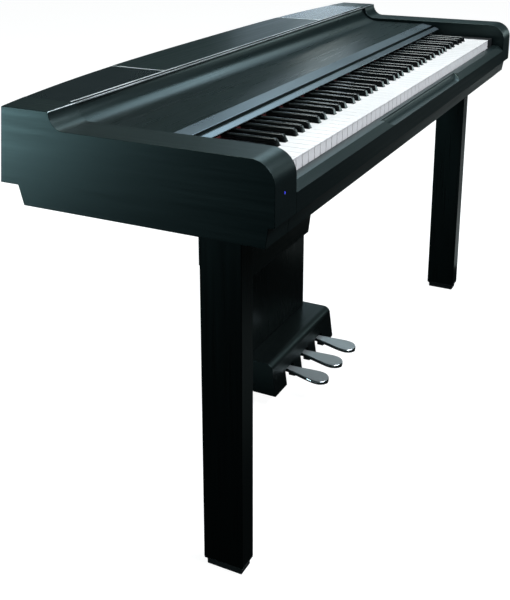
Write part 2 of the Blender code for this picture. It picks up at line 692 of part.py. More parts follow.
def make_pedal_box():
    """A shell open underneath, rounded along its front top edge, with three notches for the pedals."""
    radius = 0.016
    corner = quarter((PEDAL_BOX_FRONT + radius, PEDAL_BOX_TOP - radius), (radius, radius), 90, 180, 6)
    foot = PEDAL_BOX_FRONT - PEDAL_BOX_LEAN
    section = corner + [(foot, PEDAL_BOX_BOTTOM), (PEDAL_BOX_BACK, PEDAL_BOX_BOTTOM),
                        (PEDAL_BOX_BACK, PEDAL_BOX_TOP)]
    half = PEDAL_BOX_HALF
    box = plain("pedal_box", "stand_black", add_section, section, -half, half,
                origin=(0.0, *world(PEDAL_BOX_FRONT, PEDAL_BOX_TOP)), smooth=True)
    wall = PEDAL_BOX_WALL
    cut(box, "pedal_box_hollow_cutter", add_box, (-half + wall, half - wall),
        (PEDAL_BOX_FRONT + wall, PEDAL_BOX_BACK - wall), (PEDAL_BOX_BOTTOM - 0.01, PEDAL_BOX_TOP - wall))
    for i in (-1, 0, 1):
        x = i * PEDAL_PITCH
        cut(box, f"notch_cutter_{i + 2}", add_box, (x - PEDAL_NOTCH_WIDTH / 2, x + PEDAL_NOTCH_WIDTH / 2),
            (foot - 0.01, PEDAL_BOX_FRONT + wall + 0.002), (PEDAL_BOX_BOTTOM - 0.01, PEDAL_NOTCH_TOP))


def pedal_outline(centre):
    """(x, depth) plan of a pedal: a narrow lever that widens evenly into a round paddle."""
    side = [(PEDAL_LEVER_HALF, PEDAL_ROOT), (PEDAL_LEVER_HALF, 0.234), (0.0123, 0.220), (0.0178, 0.196),
            (0.0225, 0.174)]
    tip = quarter((0.0, PADDLE_CENTRE), (PADDLE_HALF, PADDLE_CENTRE - PADDLE_TIP), 0, -180, 10)
    left = [(-x, depth) for x, depth in reversed(side)]
    return [(centre + x, depth) for x, depth in side + tip + left]


def make_pedals():
    """Each pedal rocks on the rod; its top drops a little towards the tip."""
    thick = 0.009
    root_top, drop = -0.6425, 0.0075
    length = PEDAL_BOX_FRONT - PADDLE_TIP
    for label, index in (("left", -1), ("centre", 0), ("right", 1)):
        x = index * PEDAL_PITCH
        bm = bmesh.new()
        outline = pedal_outline(x)
        loops = []
        for inset, below in ((0.0015, thick), (0.0, thick - 0.0015), (0.0, 0.0015), (0.0015, 0.0)):
            loop = []
            for px, depth in outline:
                shrink = 1 - inset / PADDLE_HALF
                share = min(1.0, max(0.0, (PEDAL_BOX_FRONT - depth) / length))
                place = PADDLE_CENTRE + (depth - PADDLE_CENTRE) * shrink if depth < PADDLE_CENTRE else depth
                loop.append((x + (px - x) * shrink, *world(place, root_top - drop * share - below)))
            loops.append(loop)
        add_loops(bm, loops)
        origin = (x, *world(*PEDAL_AXIS))
        finish(f"{label}_pedal", bm, "pedal_chrome", origin=origin, smooth=True)
    end = PEDAL_BOX_HALF - PEDAL_BOX_WALL - GAP
    depth, height = PEDAL_AXIS
    plain("pedal_rod", "plain_steel", add_rod_x, depth, height, PEDAL_ROD_RADIUS, -end, end, 16, smooth=True)


def make_rear_feet():
    """A plate across the rear of the pedal box, with two screw feet that stand on the floor."""
    plate_low = PEDAL_BOX_BOTTOM
    inner = PEDAL_BOX_HALF - PEDAL_BOX_WALL - GAP
    back = PEDAL_BOX_BACK - PEDAL_BOX_WALL - GAP
    plain("pedal_floor_plate", "plain_steel", add_box, (-inner, inner), (0.306, back), (plate_low, plate_low + 0.003))
    reach = plate_low - GAP - FLOOR
    profile = ((0.0140, 0.0), (0.0140, 0.009), (0.0110, 0.012), (0.0045, 0.013), (0.0045, reach))
    for side, sign in (("left", -1), ("right", 1)):
        centre = (sign * 0.085, *world(0.3215, FLOOR))
        plain(f"{side}_screw_foot", "black_rubber", add_turned, centre, profile, "Z", 20, smooth=True)


def main():
    clear_scene()
    make_cheeks()
    make_led()
    make_key_slip()
    make_base()
    make_rear_panel()
    make_jack_panel()
    make_top()
    make_speakers()
    make_deck()
    make_key_cover()
    make_felt()
    make_keys()
    make_key_frame()
    make_end_blocks()
    make_controls()
    make_electronics()
    make_legs()
    make_column()
    make_pedal_box()
    make_pedals()
    make_rear_feet()


main()
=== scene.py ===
"""Visual model of the digital piano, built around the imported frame. Metres, +Z up.

Sections are (depth, height) pairs in the keyboard's datum, as in the part: depth runs back from the white
keys' front edge and height up from their tops. world() turns a pair into Y and Z.
"""

import math

import bmesh
import bpy
from mathutils import Matrix, Vector

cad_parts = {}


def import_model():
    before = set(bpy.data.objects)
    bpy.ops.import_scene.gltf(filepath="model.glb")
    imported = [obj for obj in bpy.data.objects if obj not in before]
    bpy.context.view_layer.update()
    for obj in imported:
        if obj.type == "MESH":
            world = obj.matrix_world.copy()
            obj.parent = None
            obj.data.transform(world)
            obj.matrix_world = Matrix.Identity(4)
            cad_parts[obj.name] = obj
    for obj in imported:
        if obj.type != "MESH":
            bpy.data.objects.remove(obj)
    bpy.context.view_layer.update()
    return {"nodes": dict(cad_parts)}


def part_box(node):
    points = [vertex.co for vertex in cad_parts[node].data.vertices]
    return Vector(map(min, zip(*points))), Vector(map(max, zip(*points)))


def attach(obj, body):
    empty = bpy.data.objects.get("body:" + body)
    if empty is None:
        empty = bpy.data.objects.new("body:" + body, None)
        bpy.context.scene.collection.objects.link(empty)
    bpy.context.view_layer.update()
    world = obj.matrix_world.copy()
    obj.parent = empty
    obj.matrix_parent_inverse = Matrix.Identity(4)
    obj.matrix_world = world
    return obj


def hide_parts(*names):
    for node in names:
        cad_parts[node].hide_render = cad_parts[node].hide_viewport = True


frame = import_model()

# ------------ datum, taken from the frame
KEY_C4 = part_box("key_c4")
KEY_TOP = KEY_C4[1][2]
KEY_FRONT = KEY_C4[0][1]
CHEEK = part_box("right_cheek")
HALF_WIDTH = CHEEK[1][0]
BAY = CHEEK[0][0]  # inner face of a cheek
TOP = CHEEK[1][2] - KEY_TOP  # height of the rear housing's top
GAP = 0.0003  # clearance between neighbouring pieces
FIT = BAY - GAP  # half width of what fits between the cheeks
REAR = 0.4475  # depth of the lower rear edge at the cheeks
LEAN = 0.0115  # how far the rear wall leans in by its top
BOW = 0.045  # how far the rear wall bows out in the middle
FRONT = CHEEK[0][1] - KEY_FRONT  # depth of the front faces
FLANK = -0.0624  # height of the front faces' lower edge
REAR_FLANK = -0.0622  # height of the rear wall's lower edge
BOTTOM = CHEEK[0][2] - KEY_TOP
LED_PLACE = (-0.6937, -0.0200)  # X and height of the indicator in the left cheek
PITCH = 0.0235  # white key to white key
LEFT_EDGE = -26 * PITCH
FIRST_C = LEFT_EDGE + 2 * PITCH
WHITES = ("c", "d", "e", "f", "g", "a", "b")
# centre of each black key, from the left edge of the C below it
SHARPS = {"c_sharp": 0.02115, "d_sharp": 0.04935,
          "f_sharp": 0.09064, "g_sharp": 0.11750, "a_sharp": 0.14436}
SIDES = (("left", -1), ("right", 1))


def world(depth, height):
    """Y and Z of a depth and a height."""
    return depth + KEY_FRONT, height + KEY_TOP


def bow(x):
    """How far the rear wall stands out behind its place at the cheeks, at a given X."""
    return BOW * (1 - abs(x / HALF_WIDTH) ** 3)


# ------------ materials
GRAIN_RELIEF, MOULD_RELIEF, BRUSH_RELIEF = 0.00012, 0.00008, 0.00004  # metres, at a bump strength of 1
HOLE_RELIEF, FIBRE_RELIEF = 0.0002, 0.0004
FINE_MOULD, BROAD_PATCH = 900.0, 9.0  # noise cells per metre


def node(tree, kind, **values):
    """A shader node, with its sockets and settings given by name."""
    made = tree.nodes.new(kind)
    for key, value in values.items():
        if key in made.inputs.keys():
            made.inputs[key].default_value = value
        else:
            setattr(made, key, value)
    return made


def coordinates(tree, scale):
    place = node(tree, "ShaderNodeTexCoord")
    mapping = node(tree, "ShaderNodeMapping")
    mapping.inputs["Scale"].default_value = scale
    tree.links.new(place.outputs["Object"], mapping.inputs["Vector"])
    return mapping.outputs["Vector"]


def ramp(tree, factor, stops):
    made = node(tree, "ShaderNodeValToRGB")
    band = made.color_ramp
    while len(band.elements) < len(stops):
        band.elements.new(0.5)
    for element, (place, colour) in zip(band.elements, stops):
        element.position = place
        element.color = (*colour, 1.0)
    tree.links.new(factor, made.inputs["Fac"])
    return made.outputs["Color"]


def grey_ramp(tree, factor, low, high, start=0.0, end=1.0):
    return ramp(tree, factor, ((start, (low,) * 3), (end, (high,) * 3)))


def noise(tree, vector, scale, detail=2.0, rough=0.5):
    made = node(tree, "ShaderNodeTexNoise", Scale=scale, Detail=detail, Roughness=rough)
    tree.links.new(vector, made.inputs["Vector"])
    return made.outputs["Fac"]


def bump(tree, shader, height, strength, distance):
    made = node(tree, "ShaderNodeBump", Strength=strength, Distance=distance)
    tree.links.new(height, made.inputs["Height"])
    tree.links.new(made.outputs["Normal"], shader.inputs["Normal"])


def blank(name, **sockets):
    """A new material with its tree and shader; underscores in a socket's name stand for spaces."""
    made = bpy.data.materials.new(name)
    made.use_nodes = True
    shader = made.node_tree.nodes["Principled BSDF"]
    for key, value in sockets.items():
        shader.inputs[key.replace("_", " ")].default_value = value
    return made, made.node_tree, shader


def mix(tree, factor, first, second, blend="MIX"):
    made = node(tree, "ShaderNodeMix", data_type="RGBA", blend_type=blend)
    for socket, value in ((made.inputs[0], factor), (made.inputs[6], first), (made.inputs[7], second)):
        if isinstance(value, bpy.types.NodeSocket):
            tree.links.new(value, socket)
        elif isinstance(value, tuple):
            socket.default_value = (*value, 1.0)
        else:
            socket.default_value = value
    return made.outputs[2]


GRAIN_SCALE = {"x": (5, 170, 170), "y": (170, 5, 170), "z": (170, 170, 5)}


def laminate(name, grain, light, dark, rough=(0.30, 0.42), relief=0.25, tint=(1.0, 1.0, 1.0)):
    """Satin foil with a fine open wood grain that runs along one axis."""
    made, tree, shader = blank(name, IOR=1.5, Specular_Tint=(*tint, 1.0))

    def along_grain(share, scale, detail, rough):
        stretch = tuple(cells * share for cells in GRAIN_SCALE[grain])
        return noise(tree, coordinates(tree, stretch), scale, detail, rough)

    pores = along_grain(1.0, 2.6, 4.0, 0.62)
    fibres = along_grain(0.36, 2.6, 3.0, 0.6)
    bands = along_grain(0.11, 2.0, 3.0, 0.5)
    cloud = noise(tree, coordinates(tree, (2.2, 2.2, 2.2)), 1.0, 2.0)
    figure = ramp(tree, pores, ((0.30, dark), (0.62, light)))
    shade = ramp(tree, bands, ((0.25, (0.80, 0.80, 0.80)), (0.75, (1.12, 1.12, 1.12))))
    colour = mix(tree, 0.75, figure, shade, "MULTIPLY")
    strand = ramp(tree, fibres, ((0.35, (0.70, 0.72, 0.73)), (0.65, (1.18, 1.17, 1.16))))
    colour = mix(tree, 0.8, colour, strand, "MULTIPLY")
    patch = ramp(tree, cloud, ((0.35, (0.93, 0.95, 0.96)), (0.7, (1.06, 1.05, 1.04))))
    colour = mix(tree, 0.6, colour, patch, "MULTIPLY")
    tree.links.new(colour, shader.inputs["Base Color"])
    tree.links.new(grey_ramp(tree, fibres, rough[1], rough[0], 0.3, 0.7), shader.inputs["Roughness"])
    bump(tree, shader, pores, relief, GRAIN_RELIEF)
    return made


def moulded(name, colour, rough, relief=0.2, scale=FINE_MOULD, metallic=0.0, spread=0.12, **sockets):
    """Moulded or painted surface with a fine texture and slightly uneven colour."""
    made, tree, shader = blank(name, Metallic=metallic, **sockets)
    fine = noise(tree, coordinates(tree, (scale, scale, scale)), 1.0, 2.0)
    broad = noise(tree, coordinates(tree, (BROAD_PATCH,) * 3), 1.0, 3.0)
    low = tuple(c * (1 - spread) for c in colour)
    high = tuple(min(1.0, c * (1 + spread)) for c in colour)
    tree.links.new(ramp(tree, broad, ((0.3, low), (0.7, high))), shader.inputs["Base Color"])
    tree.links.new(grey_ramp(tree, broad, rough * 0.88, rough * 1.12, 0.3, 0.7), shader.inputs["Roughness"])
    if relief:
        bump(tree, shader, fine, relief, MOULD_RELIEF)
    return made


def brushed(name, colour, rough, grain, relief=0.15, metallic=1.0, **sockets):
    """Metal with long fine brush lines along one axis."""
    made, tree, shader = blank(name, Metallic=metallic, **sockets)
    scale = {"x": (1.5, 700, 700), "y": (700, 1.5, 700), "z": (700, 700, 1.5)}[grain]
    lines = noise(tree, coordinates(tree, scale), 1.0, 3.0, 0.6)
    broad = noise(tree, coordinates(tree, (14.0, 14.0, 14.0)), 1.0, 2.0)
    low, high = tuple(c * 0.97 for c in colour), tuple(min(1.0, c * 1.03) for c in colour)
    tree.links.new(ramp(tree, lines, ((0.3, low), (0.7, high))), shader.inputs["Base Color"])
    tree.links.new(grey_ramp(tree, broad, rough * 0.85, rough * 1.2, 0.3, 0.7), shader.inputs["Roughness"])
    bump(tree, shader, lines, relief, BRUSH_RELIEF)
    return made


def perforated(name):
    """A perforated sheet: rows of tiny holes with a darker thread beneath, and a soft sheen."""
    made, tree, shader = blank(name, Specular_Tint=(*TEAL, 1.0))
    cells = node(tree, "ShaderNodeTexVoronoi", Scale=1.0, Randomness=0.0)
    tree.links.new(coordinates(tree, (620.0, 620.0, 620.0)), cells.inputs["Vector"])
    hole = cells.outputs["Distance"]
    broad = noise(tree, coordinates(tree, (16.0, 16.0, 16.0)), 1.0, 3.0)
    web = ramp(tree, broad, ((0.3, (0.008, 0.010, 0.011)), (0.7, (0.012, 0.014, 0.016))))
    mask = grey_ramp(tree, hole, 1.0, 0.0, 0.22, 0.34)
    colour = mix(tree, mask, web, (0.003, 0.003, 0.004))
    tree.links.new(colour, shader.inputs["Base Color"])
    tree.links.new(grey_ramp(tree, mask, 0.21, 0.30), shader.inputs["Roughness"])
    invert = grey_ramp(tree, hole, 0.0, 1.0, 0.20, 0.36)
    bump(tree, shader, invert, 0.05, HOLE_RELIEF)
    return made


def felt(name, dark, light):
    """Pressed fibres without a shine, for felt and for a speaker's paper cone."""
    made, tree, shader = blank(name, Roughness=1.0, Sheen_Weight=0.15, Sheen_Roughness=0.5)
    fibre = noise(tree, coordinates(tree, (700.0, 1100.0, 900.0)), 1.0, 5.0, 0.7)
    tree.links.new(ramp(tree, fibre, ((0.3, dark), (0.7, light))), shader.inputs["Base Color"])
    bump(tree, shader, fibre, 0.8, FIBRE_RELIEF)
    return made


def circuit(name):
    """Green lacquered board with a grid of lighter tracks."""
    made, tree, shader = blank(name, Roughness=0.4)
    tracks = node(tree, "ShaderNodeTexBrick", Scale=1.0)
    tracks.inputs["Color1"].default_value = (0.015, 0.10, 0.045, 1)
    tracks.inputs["Color2"].default_value = (0.02, 0.13, 0.06, 1)
    tracks.inputs["Mortar"].default_value = (0.10, 0.22, 0.07, 1)
    tree.links.new(coordinates(tree, (160.0, 160.0, 160.0)), tracks.inputs["Vector"])
    tree.links.new(tracks.outputs["Color"], shader.inputs["Base Color"])
    bump(tree, shader, tracks.outputs["Fac"], 0.3, HOLE_RELIEF)
    return made


def lens(name):
    """Faintly lit blue lens."""
    made, tree, shader = blank(name, Roughness=0.12, Emission_Strength=0.25)
    glow = noise(tree, coordinates(tree, (420.0, 420.0, 420.0)), 1.0, 1.0)
    tint = ramp(tree, glow, ((0.3, (0.03, 0.05, 0.75)), (0.7, (0.12, 0.10, 1.0))))
    tree.links.new(tint, shader.inputs["Base Color"])
    tree.links.new(tint, shader.inputs["Emission Color"])
    return made


TEAL = (0.70, 1.0, 0.98)  # tint of the foils' reflections
CASE_LIGHT, CASE_DARK = (0.0036, 0.0064, 0.0068), (0.0024, 0.0046, 0.0050)
DECK_LIGHT, DECK_DARK = (0.0034, 0.0062, 0.0066), (0.0020, 0.0038, 0.0042)
STAND_LIGHT, STAND_DARK = (0.0012, 0.0015, 0.0016), (0.0008, 0.0010, 0.0011)
MATERIALS = {
    "case_x": laminate("case_foil_along_x", "x", CASE_LIGHT, CASE_DARK, (0.31, 0.39), tint=TEAL),
    "case_y": laminate("case_foil_along_y", "y", CASE_LIGHT, CASE_DARK, (0.31, 0.39), tint=TEAL),
    "deck": laminate("deck_foil", "x", DECK_LIGHT, DECK_DARK, (0.26, 0.33), 0.14, TEAL),
    "cover": laminate("cover_foil", "x", CASE_LIGHT, CASE_DARK, tint=TEAL),
    "stand_x": laminate("stand_foil_along_x", "x", STAND_LIGHT, STAND_DARK, (0.34, 0.42), 0.12, TEAL),
    "stand_z": laminate("stand_foil_along_z", "z", STAND_LIGHT, STAND_DARK, (0.26, 0.34), 0.12, TEAL),
    "grille": perforated("speaker_grille_mesh"),
    "silver": brushed("satin_silver_trim", (0.84, 0.86, 0.88), 0.40, "x", 0.02),
    "divider": brushed("satin_silver_divider", (0.88, 0.90, 0.92), 0.45, "y", 0.02),
    # pale grey-blue metal on the deck's nosing and the cover's lip: a painted reflection of the lamps on
    # these sloping strips of dark foil
    "nosing": moulded("nosing_painted_reflection", (0.155, 0.190, 0.218), 0.29, 0.0, metallic=0.75, spread=0.05),
    "groove": moulded("matt_black_groove", (0.0012, 0.0013, 0.0014), 0.70, Specular_IOR_Level=0.15),
    "ivory": moulded("white_key_plastic", (0.905, 0.860, 0.855), 0.24, 0.02, 700.0, spread=0.015,
                     Coat_Weight=0.3),
    "ebony": moulded("black_key_plastic", (0.0030, 0.0032, 0.0034), 0.12, 0.0, spread=0.10),
    "felt": felt("red_felt", (0.06, 0.002, 0.002), (0.20, 0.009, 0.007)),
    "steel": brushed("zinc_plated_steel", (0.46, 0.47, 0.49), 0.38, "x"),
    "chrome": brushed("pedal_satin_chrome", (0.60, 0.61, 0.62), 0.32, "y", 0.0, 0.8),
    # brighter, glossier metal for the pedals' sides and rounded edges: a painted highlight for the rim's
    # chrome reflections
    "rim": moulded("pedal_rim_painted_highlight", (0.86, 0.88, 0.90), 0.16, 0.0, metallic=1.0, spread=0.03),
    "circuit": circuit("circuit_board_green"),
    "paper": felt("speaker_cone_paper", (0.010, 0.010, 0.011), (0.022, 0.022, 0.024)),
    "plastic": moulded("black_plastic", (0.0095, 0.0100, 0.0110), 0.46, 0.45),
    "led": lens("indicator_lens"),
    "rubber": moulded("black_rubber", (0.0110, 0.0112, 0.0118), 0.72, 0.5, 500.0),
    "contact": brushed("gold_contact", (0.75, 0.55, 0.22), 0.2, "y"),
}


# ------------ mesh helpers
def add_loops(bm, loops):
    """Skins a row of loops with equal counts of points and caps both ends."""
    rings = [[bm.verts.new(point) for point in loop] for loop in loops]
    for first, second in zip(rings, rings[1:]):
        for i in range(len(first)):
            j = (i + 1) % len(first)
            bm.faces.new((first[i], first[j], second[j], second[i]))
    bm.faces.new(rings[0])
    bm.faces.new(list(reversed(rings[-1])))


def add_object(name, data):
    """Puts a mesh, a light or a camera into the scene."""
    made = bpy.data.objects.new(name, data)
    bpy.context.scene.collection.objects.link(made)
    return made


def add_mesh(name, bm):
    mesh = bpy.data.meshes.new(name)
    bm.to_mesh(mesh)
    bm.free()
    return add_object(name, mesh)


def place_section(section, x):
    return [(x, *world(depth, height)) for depth, height in section]


def add_section(bm, section, x_start, x_end):
    add_loops(bm, [place_section(section, x) for x in (x_start, x_end)])


def add_box(bm, low, high):
    (x0, y0, z0), (x1, y1, z1) = low, high
    add_loops(bm, [[(x, y0, z0), (x, y1, z0), (x, y1, z1), (x, y0, z1)] for x in (x0, x1)])


def add_turned(bm, centre, profile, axis, sides):
    """Turns a profile of (radius, distance along the axis) pairs."""
    rings = []
    for radius, distance in profile:
        ring = []
        for i in range(sides):
            angle = 2 * math.pi * i / sides
            across, along = radius * math.cos(angle), radius * math.sin(angle)
            offset = {"Z": (across, along, distance), "Y": (across, distance, along)}[axis]
            ring.append(tuple(c + o for c, o in zip(centre, offset)))
        rings.append(ring)
    add_loops(bm, rings)


def arc(centre, radii, start, end, steps):
    """Points on an ellipse from one angle to another, in degrees."""
    points = []
    for i in range(steps + 1):
        angle = math.radians(start + (end - start) * i / steps)
        points.append((centre[0] + radii[0] * math.cos(angle), centre[1] + radii[1] * math.sin(angle)))
    return points


def piece(name, bm, surface, body="case", replaces=(), bevel=0.0, segments=3, angle=30.0):
    """Finishes one visual piece: normals, edge rounding, shading, material and body."""
    bmesh.ops.recalc_face_normals(bm, faces=bm.faces)
    obj = add_mesh(name, bm)
    obj.data.materials.append(MATERIALS[surface])
    obj.data.shade_smooth()
    if bevel:
        round_edges(obj, bevel, segments, angle)
    else:
        obj.data.set_sharp_from_angle(angle=math.radians(angle))
    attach(obj, body)
    if replaces:
        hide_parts(*replaces)
    return obj


def round_edges(obj, width, segments, angle):
    made = obj.modifiers.new("edge_rounding", "BEVEL")
    made.width = width
    made.segments = segments
    made.limit_method = "ANGLE"
    made.angle_limit = math.radians(angle)
    made.harden_normals = True
    made.use_clamp_overlap = True


def subtract(obj, *cutters):
    """Cuts shapes out of a piece's mesh, ahead of its edge rounding."""
    helpers = []
    for bm in cutters:
        bmesh.ops.recalc_face_normals(bm, faces=bm.faces)
        helpers.append(add_mesh("cutter", bm))
        made = obj.modifiers.new("cut", "BOOLEAN")
        made.operation = "DIFFERENCE"
        made.solver = "EXACT"
        made.object = helpers[-1]
    rounding = [m for m in obj.modifiers if m.type == "BEVEL"]
    for made in rounding:
        made.show_viewport = False
    graph = bpy.context.evaluated_depsgraph_get()
    mesh = bpy.data.meshes.new_from_object(obj.evaluated_get(graph))
    for made in [m for m in obj.modifiers if m.type == "BOOLEAN"]:
        obj.modifiers.remove(made)
    for made in rounding:
        made.show_viewport = True
    obj.data = mesh
    mesh.shade_smooth()
    if not rounding:
        mesh.set_sharp_from_angle(angle=math.radians(30))
    for helper in helpers:
        bpy.data.objects.remove(helper, do_unlink=True)


def refine(source, surface, bevel, segments=3, body="case"):
    """A copy of a CAD node's shape with its flat facets merged and its edges rounded."""
    bm = bmesh.new()
    bm.from_mesh(frame["nodes"][source].data)
    bmesh.ops.remove_doubles(bm, verts=bm.verts, dist=0.00001)
    bmesh.ops.dissolve_limit(bm, angle_limit=math.radians(0.5), verts=bm.verts, edges=bm.edges)
    piece(f"{source}_finish", bm, surface, body, (source,), bevel, segments)


# ------------ case
UNDERCUT = [(-0.0155, BOTTOM), (-0.0202, -0.0642), (FRONT, FLANK)]  # front edge under cheeks and slip
STRIP_FRONT, STRIP_BACK, STRIP_FLOOR = 0.3460, 0.3477, 0.0602  # the strip's notch in a cheek
CURVE_STEPS = 18


def cheek_section(x):
    swell = bow(x) - bow(HALF_WIDTH)
    corner = arc((0.008, -0.0045), (0.038, 0.037), 180, 90, CURVE_STEPS)
    cove = arc((0.320, TOP), (0.026, TOP - 0.0336), -90, 0, CURVE_STEPS)[:-1]
    notch = [(STRIP_FRONT, STRIP_FLOOR), (STRIP_BACK, STRIP_FLOOR), (STRIP_BACK, TOP)]
    rear_top = REAR - LEAN + swell
    rear = [(rear_top, TOP), (REAR + swell, REAR_FLANK), (0.413, REAR_FLANK), (0.4037, BOTTOM)]
    return UNDERCUT + corner + cove + notch + rear


def make_cheeks():
    stations = 8
    for side, sign in SIDES:
        bm = bmesh.new()
        loops = []
        for i in range(stations + 1):
            x = sign * (HALF_WIDTH - (HALF_WIDTH - BAY) * i / stations)
            loops.append(place_section(cheek_section(x), x))
        add_loops(bm, loops)
        cheek = piece(f"cheek_{side}", bm, "case_y", "case", (f"{side}_cheek",), 0.0011, 3)
        if side == "left":
            subtract(cheek, led_hole())
        make_edge_strip(side, sign)
    make_led()


def make_edge_strip(side, sign):
    """The silver strip that edges a cheek where the channel's front lip meets it."""
    low, high, floor, margin = STRIP_FRONT + 0.0001, STRIP_BACK - 0.0001, STRIP_FLOOR + 0.0001, 0.0012
    section = ((low, floor), (high, floor), (high, TOP - 0.0001), (low + 0.0005, TOP - 0.0001),
               (low, TOP - 0.0006))
    bm = bmesh.new()
    add_section(bm, section, *sorted((sign * (HALF_WIDTH - margin), sign * (BAY + margin))))
    piece(f"cheek_edge_strip_{side}", bm, "silver")


def led_hole():
    x, height = LED_PLACE
    y, z = world(FRONT, height)
    radius = 0.0023
    bm = bmesh.new()
    add_turned(bm, (x, 0.0, z), ((radius, y - 0.002), (radius, y + 0.0052)), "Y", 28)
    return bm


def make_led():
    x, height = LED_PLACE
    y, z = world(FRONT, height)
    profile = [(0.00185, y + 0.0046), (0.0020, y + 0.0004), (0.0019, y), (0.0015, y), (0.0008, y + 0.0002)]
    bm = bmesh.new()
    add_turned(bm, (x, 0.0, z), profile, "Y", 28)
    piece("indicator_lens_dome", bm, "led", "case", ("power_led",))


GRIP_LONG_HALF, GRIP_SHORT_HALF = 0.247, 0.214  # half lengths of the grip's upper and lower edges
GRIP_LIP = (-0.0112, -0.0193)  # upper edge of the grip
GRIP_CENTRE, GRIP_RADII = (-0.0302, -0.0193), (0.0190, 0.0121)
GRIP_STEPS = 10  # stations in each tapered end


def grip_cutter():
    """The finger scoop: a hollow quarter round that runs out to a point at each end."""
    floor = arc(GRIP_CENTRE, GRIP_RADII, 0, -90, 28)
    above, before = -0.0150, -0.0400
    section = floor + [(before, floor[-1][1]), (before, above), (GRIP_LIP[0], above)]
    stations = []
    for i in range(GRIP_STEPS + 1):
        share = i / GRIP_STEPS
        size = 0.04 + 0.96 * math.sin(math.pi / 2 * share)
        stations.append((GRIP_LONG_HALF - (GRIP_LONG_HALF - GRIP_SHORT_HALF) * share, size))
    stations = [(-x, size) for x, size in stations] + list(reversed(stations))
    loops = []
    for x, size in stations:
        scaled = [tuple(lip + (value - lip) * size for value, lip in zip(point, GRIP_LIP))
                  for point in section]
        loops.append(place_section(scaled, x))
    bm = bmesh.new()
    add_loops(bm, loops)
    return bm


def make_key_slip():
    back = -0.003
    upper = [(back, BOTTOM), (back, -0.0185), (-0.019, -0.0200), (FRONT, -0.0312)]
    section = upper + UNDERCUT[::-1]
    bm = bmesh.new()
    add_section(bm, section, -FIT, FIT)
    slip = piece("key_slip_board", bm, "case_x", "case", ("key_slip",), 0.0009, 3)
    subtract(slip, grip_cutter())


def make_rear():
    """The bowed, leaning rear board, its foot turned forward, with a window for the socket plate."""
    bm = bmesh.new()
    loops = []
    under, wall, toe = 0.0477, 0.012, 0.4130
    lean = LEAN * (under - REAR_FLANK) / (TOP - REAR_FLANK)
    stations = 48
    for i in range(stations + 1):
        x = -FIT + 2 * FIT * i / stations
        foot = REAR + bow(x)
        outer = foot - lean
        section = ((toe, REAR_FLANK), (foot, REAR_FLANK), (outer, under - GAP), (outer - wall, under - GAP),
                   (foot - wall - 0.001, REAR_FLANK + 0.010), (toe, REAR_FLANK + 0.010))
        loops.append(place_section(section, x))
    add_loops(bm, loops)
    panel = piece("rear_panel_board", bm, "case_x", "case", ("rear_panel",), 0.0008, 2)
    low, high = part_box("jack_panel")
    window = bmesh.new()
    before, behind = world(0.455, 0)[0], world(0.520, 0)[0]
    add_box(window, (low[0] - GAP, before, low[2] - GAP), (high[0] + GAP, behind, high[2] + GAP))
    subtract(panel, window)
    make_sockets()


# X and radius of each jack, then offsets of the inlet's blades from its middle
JACKS = ((-0.055, 0.0085), (-0.030, 0.0085), (0.005, 0.0055), (0.030, 0.0055),
         (0.062, 0.0065), (0.090, 0.0065))
INLET_BLADES = ((-0.006, -0.002), (0.006, -0.002), (0.0, 0.004))


def make_sockets():
    """The socket plate with its jacks and screws, and the mains inlet's blades."""
    low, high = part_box("jack_panel")
    middle = (low[2] + high[2]) / 2
    back = high[1] - 0.004
    plate = bmesh.new()
    add_box(plate, low, (high[0], back, high[2]))
    piece("socket_plate", plate, "plastic", "case", ("jack_panel",), 0.0004, 2)
    for i, (x, radius) in enumerate(JACKS):
        bore = radius * 0.58
        collar = bmesh.new()
        profile = ((radius * 1.12, 0.0), (radius * 1.12, 0.0012), (radius, 0.0016), (radius, 0.0036),
                   (radius * 0.94, 0.0040), (bore * 1.06, 0.0040), (bore, 0.0036), (bore, 0.0008))
        add_turned(collar, (x, back + 0.00005, middle), profile, "Y", 36)
        surface = "steel" if radius < 0.008 else "plastic"
        piece(f"socket_collar_{i + 1}", collar, surface)
        spring = bmesh.new()
        profile = ((bore * 0.5, 0.0), (bore * 0.5, 0.0015), (bore * 0.2, 0.0018))
        add_turned(spring, (x, back + 0.0010, middle), profile, "Y", 20)
        piece(f"socket_contact_{i + 1}", spring, "contact")
    inset = 0.007
    for i, (across, up) in enumerate(((-1, -1), (1, -1), (-1, 1), (1, 1))):
        place = (across * (high[0] - inset), back, middle + up * (high[2] - middle - inset))
        make_screw(f"plate_screw_{i + 1}", place, "Y", 1, 0.0032)
    low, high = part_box("mains_inlet")
    refine("mains_inlet", "plastic", 0.0006)
    middle = ((low[0] + high[0]) / 2, (low[2] + high[2]) / 2)
    blades = bmesh.new()
    for dx, dz in INLET_BLADES:
        x, z = middle[0] + dx, middle[1] + dz
        add_box(blades, (x - 0.0010, high[1] - 0.0045, z - 0.0020),
                (x + 0.0010, high[1] - 0.0004, z + 0.0020))
    piece("inlet_blades", blades, "steel", bevel=0.0002, segments=2)


def make_screw(name, centre, axis, direction, radius):
    """A pan-head screw with a cross recess, its head standing out along direction."""
    dome = ((radius, 0.0), (radius, 0.35), (radius * 0.93, 0.62), (radius * 0.72, 0.86),
            (radius * 0.4, 0.97), (radius * 0.08, 1.0))
    rise = radius * 0.55
    bm = bmesh.new()
    add_turned(bm, centre, [(r, direction * rise * share) for r, share in dome], axis, 20)
    made = piece(name, bm, "steel")
    cross = []
    arm, width, depth = radius * 0.58, radius * 0.13, rise * 0.55
    tip = direction * rise
    low, high = sorted((tip - direction * depth, tip + direction * rise))
    for a, b in ((arm, width), (width, arm)):
        corners = ((-a, -b, low), (a, b, high)) if axis == "Z" else ((-a, low, -b), (a, high, b))
        bm = bmesh.new()
        add_box(bm, *[tuple(c + o for c, o in zip(centre, corner)) for corner in corners])
        cross.append(bm)
    subtract(made, *cross)


